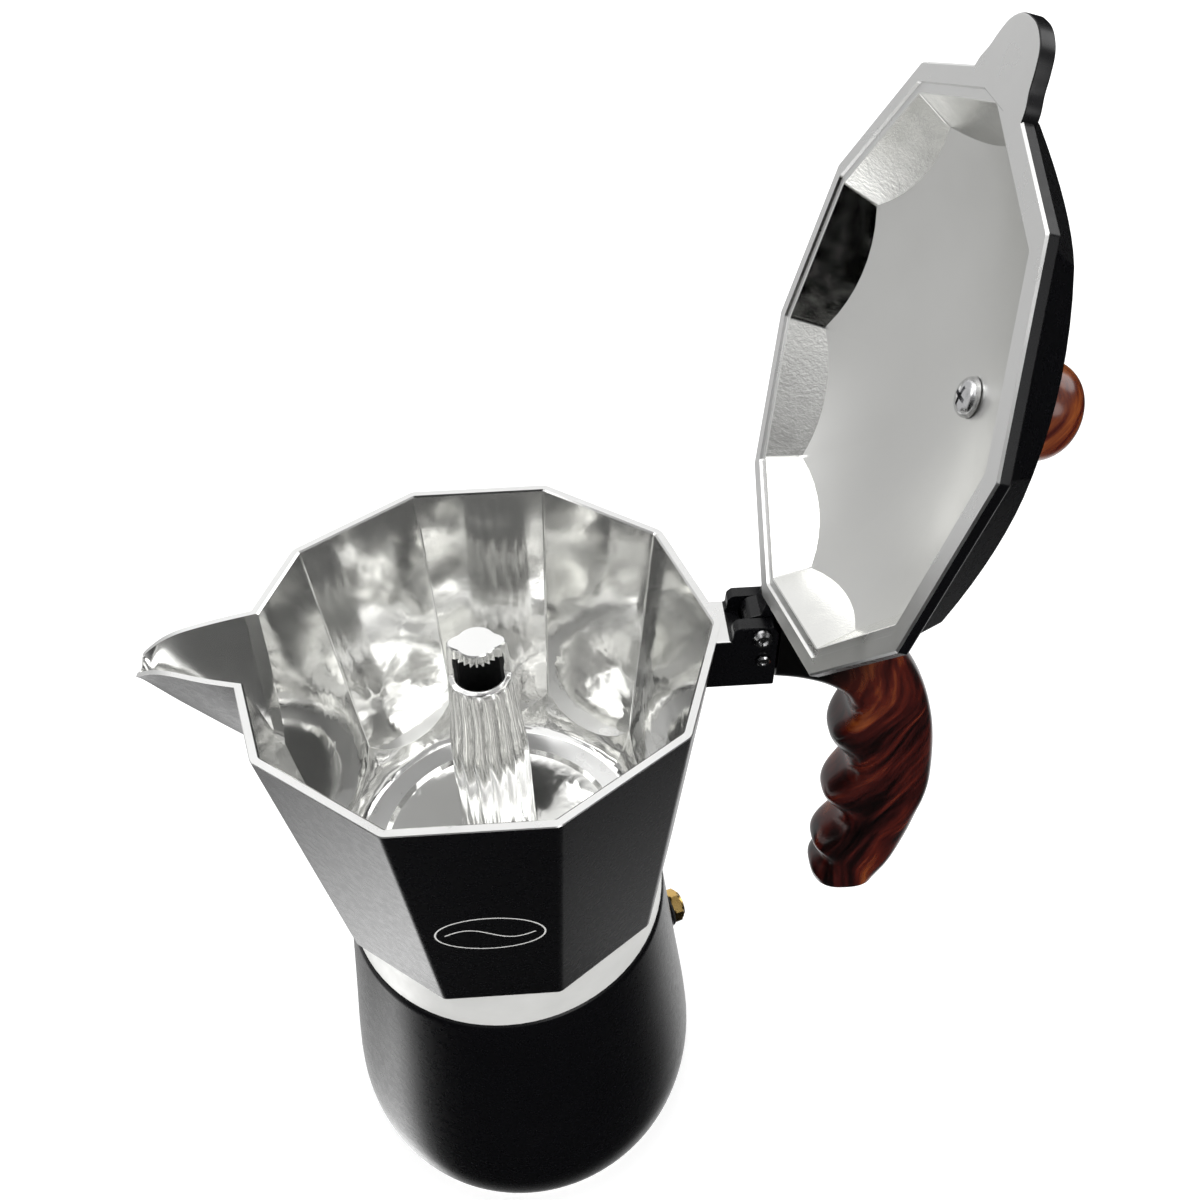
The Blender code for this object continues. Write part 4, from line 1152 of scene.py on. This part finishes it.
def build_knob(wood, steel, fibre):
    """Turned knob, the seal ring below it and the cross-recessed screw inside the lid."""
    place = lid_place()
    bore_r = 3.6
    outside = spline([(6.4, KNOB_LOW_Z + 0.25), (6.2, KNOB_LOW_Z + 1.5), (7.2, 28.0), (8.8, 30.4),
                      (KNOB_R, 33.2), (9.0, 36.2), (7.4, 38.8), (4.8, 40.4), (1.2, KNOB_TOP_Z)], 8)
    profile = [(0.5, INSERT_TOP_Z + 0.6), (bore_r, INSERT_TOP_Z + 0.6), (bore_r, KNOB_LOW_Z + 0.2),
               (bore_r + 0.2, KNOB_LOW_Z), (6.15, KNOB_LOW_Z)] + outside + [(0.3, KNOB_TOP_Z)]
    knob = smooth(turned("knob_moulding", profile, 96, (wood,), place), 40.0)
    settle(knob, "lid", "wood_effect", "lid_knob")

    low = DOME_TOP_Z + LID_WALL + 0.3
    washer = seal_ring("knob_seal_ring", 2.5, 6.0, low, 0.9, 72, fibre, place)
    settle(washer, "lid", "black_fibre", "knob_washer")

    head = DOME_TOP_Z - 0.3
    dome = spline([(0.4, head - 2.05), (1.6, head - 1.95), (2.9, head - 1.55), (3.6, head - 0.8),
                   (3.8, head)], 5)
    profile = dome + [(1.9, head), (1.9, 31.8), (1.2, 32.4)]
    screw = turned("knob_screw_head", profile, 56, (steel,))
    for size in ((1.9, 0.4), (0.4, 1.9)):
        slot = box("cross", (-size[0], -size[1], head - 3.0), (size[0], size[1], head - 0.9), (steel,))
        carve(screw, slot, 'DIFFERENCE')
    smooth(screw)
    screw.matrix_world = place
    settle(screw, "lid", "bright_steel", "knob_screw")


# --- scene

def dress_nodes(finishes):
    """Give the CAD nodes that stay their own finish."""
    for name, material in finishes.items():
        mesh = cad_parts[name].data
        for index in range(len(mesh.materials)):
            mesh.materials[index] = material


def build_stage():
    """A plain white floor, larger than the camera sees."""
    half = 4000.0
    points = [(-half, -half, -0.3), (half, -half, -0.3), (half, half, -0.3), (-half, half, -0.3)]
    look = Shading("pale_floor", (0.93, 0.93, 0.93), 0.85, specular=0.1)
    look.mottle(3.0, 3.0, (0.92, 0.92, 0.92), (0.94, 0.94, 0.94))
    look.shader.inputs["Emission Color"].default_value = (1.0, 1.0, 1.0, 1.0)
    look.shader.inputs["Emission Strength"].default_value = 0.3
    floor = new_object("floor", points, [(0, 1, 2, 3)], (look.material,))
    floor.visible_glossy = False


# What the gloss shows of the studio, as soft round fields: azimuth, elevation, radius of the full
# and of the faded part, all in degrees, and brightness. Later fields lie over earlier ones.
FIELDS = [(0, 90, 35, 80, 0.4), (90, -50, 22, 50, 1.0), (156, -54, 8, 24, 4.6), (140, -8, 45, 70, 0.58),
          (152, 3, 2, 9, 0.42), (177, -38, 5, 12, 0.05), (-134, -12, 14, 26, 0.0), (-134, 62, 15, 20, 1.1),
          (134, 66, 14, 24, 3.0), (97, 46, 14, 30, 1.05), (95, 12, 12, 26, 0.95), (-90, 60, 12, 20, 0.0),
          (76, 66, 3, 9, 2.2), (104, 63, 3, 9, 0.06), (20, 40, 14, 22, 2.6), (-60, 30, 10, 16, 2.6),
          (0, 88, 10, 16, 2.2), (178, 40, 10, 16, 2.6)]
BASE_GLEAM = 0.012
ROOM_LIGHT = 1.3


def build_world():
    """White all round for plain light; a dark room with soft fields of light for the gloss."""
    world = bpy.data.worlds.new("studio")
    bpy.context.scene.world = world
    world.use_nodes = True
    world.cycles.sampling_method = 'NONE'
    tree = world.node_tree
    place = add_node(tree, "ShaderNodeTexCoord", {}).outputs["Generated"]
    gleam = BASE_GLEAM
    for azimuth, elevation, inner, outer, brightness in FIELDS:
        turn, rise = math.radians(azimuth), math.radians(elevation)
        toward = (math.cos(turn) * math.cos(rise), math.sin(turn) * math.cos(rise), math.sin(rise))
        dot = add_node(tree, "ShaderNodeVectorMath", {0: place, 1: toward}, operation='DOT_PRODUCT')
        edges = {"Value": dot.outputs["Value"], "From Min": math.cos(math.radians(outer)),
                 "From Max": math.cos(math.radians(inner))}
        field = add_node(tree, "ShaderNodeMapRange", edges, interpolation_type='SMOOTHSTEP')
        # inputs 2 and 3 of a mix node are the two values that it blends
        sockets = {0: field.outputs["Result"], 2: gleam, 3: brightness}
        gleam = add_node(tree, "ShaderNodeMix", sockets).outputs[0]
    glossy = add_node(tree, "ShaderNodeLightPath", {}).outputs["Is Glossy Ray"]
    choose = add_node(tree, "ShaderNodeMix", {0: glossy, 2: ROOM_LIGHT, 3: gleam})
    backdrop = tree.nodes["Background"]
    backdrop.inputs["Color"].default_value = (1.0, 1.0, 1.0, 1.0)
    tree.links.new(choose.outputs[0], backdrop.inputs["Strength"])
    bpy.context.scene.view_settings.view_transform = 'Standard'


def build_camera():
    """The photograph's view, from a fit to the rim, the lower decagon, the boiler and the lid."""
    place = (0.0192, -0.1709, 0.3567)
    turn_degrees = (46.12, 1.07, -3.42)
    data = bpy.data.cameras.new("camera")
    data.sensor_width = 36.0
    data.lens = 34.74
    camera = bpy.data.objects.new("camera", data)
    bpy.context.scene.collection.objects.link(camera)
    camera.location = place
    camera.rotation_euler = tuple(math.radians(angle) for angle in turn_degrees)
    bpy.context.scene.camera = camera


def main():
    coating = black_coating()
    polished = polished_aluminium()
    satin = satin_aluminium()
    turned_face = turned_aluminium("turned_face", (0.78, 0.78, 0.78), 0.3)
    ring_metal = blasted_ring()
    grained = grained_aluminium()
    rim_metal = turned_aluminium("cut_rim", (0.86, 0.86, 0.85), 0.3)
    sheet = turned_aluminium("spun_sheet", (0.76, 0.76, 0.76), 0.32)
    brass = machined_brass()
    steel = bright_steel()
    silicone = soft_material("off_white_silicone", (0.7, 0.69, 0.65), (0.6, 0.59, 0.55), 0.55, 400.0)
    fibre = soft_material("black_fibre_ring", (0.02, 0.02, 0.02), (0.01, 0.01, 0.01), 0.65, 900.0)
    wood = wood_effect("swirled_wood_effect_knob", 0.15)
    handle_wood = wood_effect("swirled_wood_effect_handle", 0.0, -10.0)

    build_boiler(coating, ring_metal, satin)
    build_valve(brass, fibre)
    build_chamber(coating, polished, turned_face, ring_metal, rim_metal)
    build_column(column_aluminium(), fibre)
    build_emblem(ring_metal)
    build_handle(handle_wood)
    build_pin("hinge_cross_pin", "hinge_pin", HINGE_X, HINGE_Z, 2.1, 1.4, steel)
    build_pin("handle_cross_pin", "handle_pin", HANDLE_PIN_X, HANDLE_PIN_Z, 1.5, 0.6, steel)
    build_lid(coating, satin, grained, rim_metal)
    build_knob(wood, steel, fibre)
    dress_nodes({"valve_nut": brass, "valve_seat": steel, "valve_spring": steel, "valve_pin": brass,
                 "funnel_basket": sheet, "funnel_stem": sheet, "funnel_strainer": sheet, "gasket": silicone,
                 "filter_plate": sheet, "knob_insert": brass})
    build_stage()
    build_world()
    build_camera()


main()
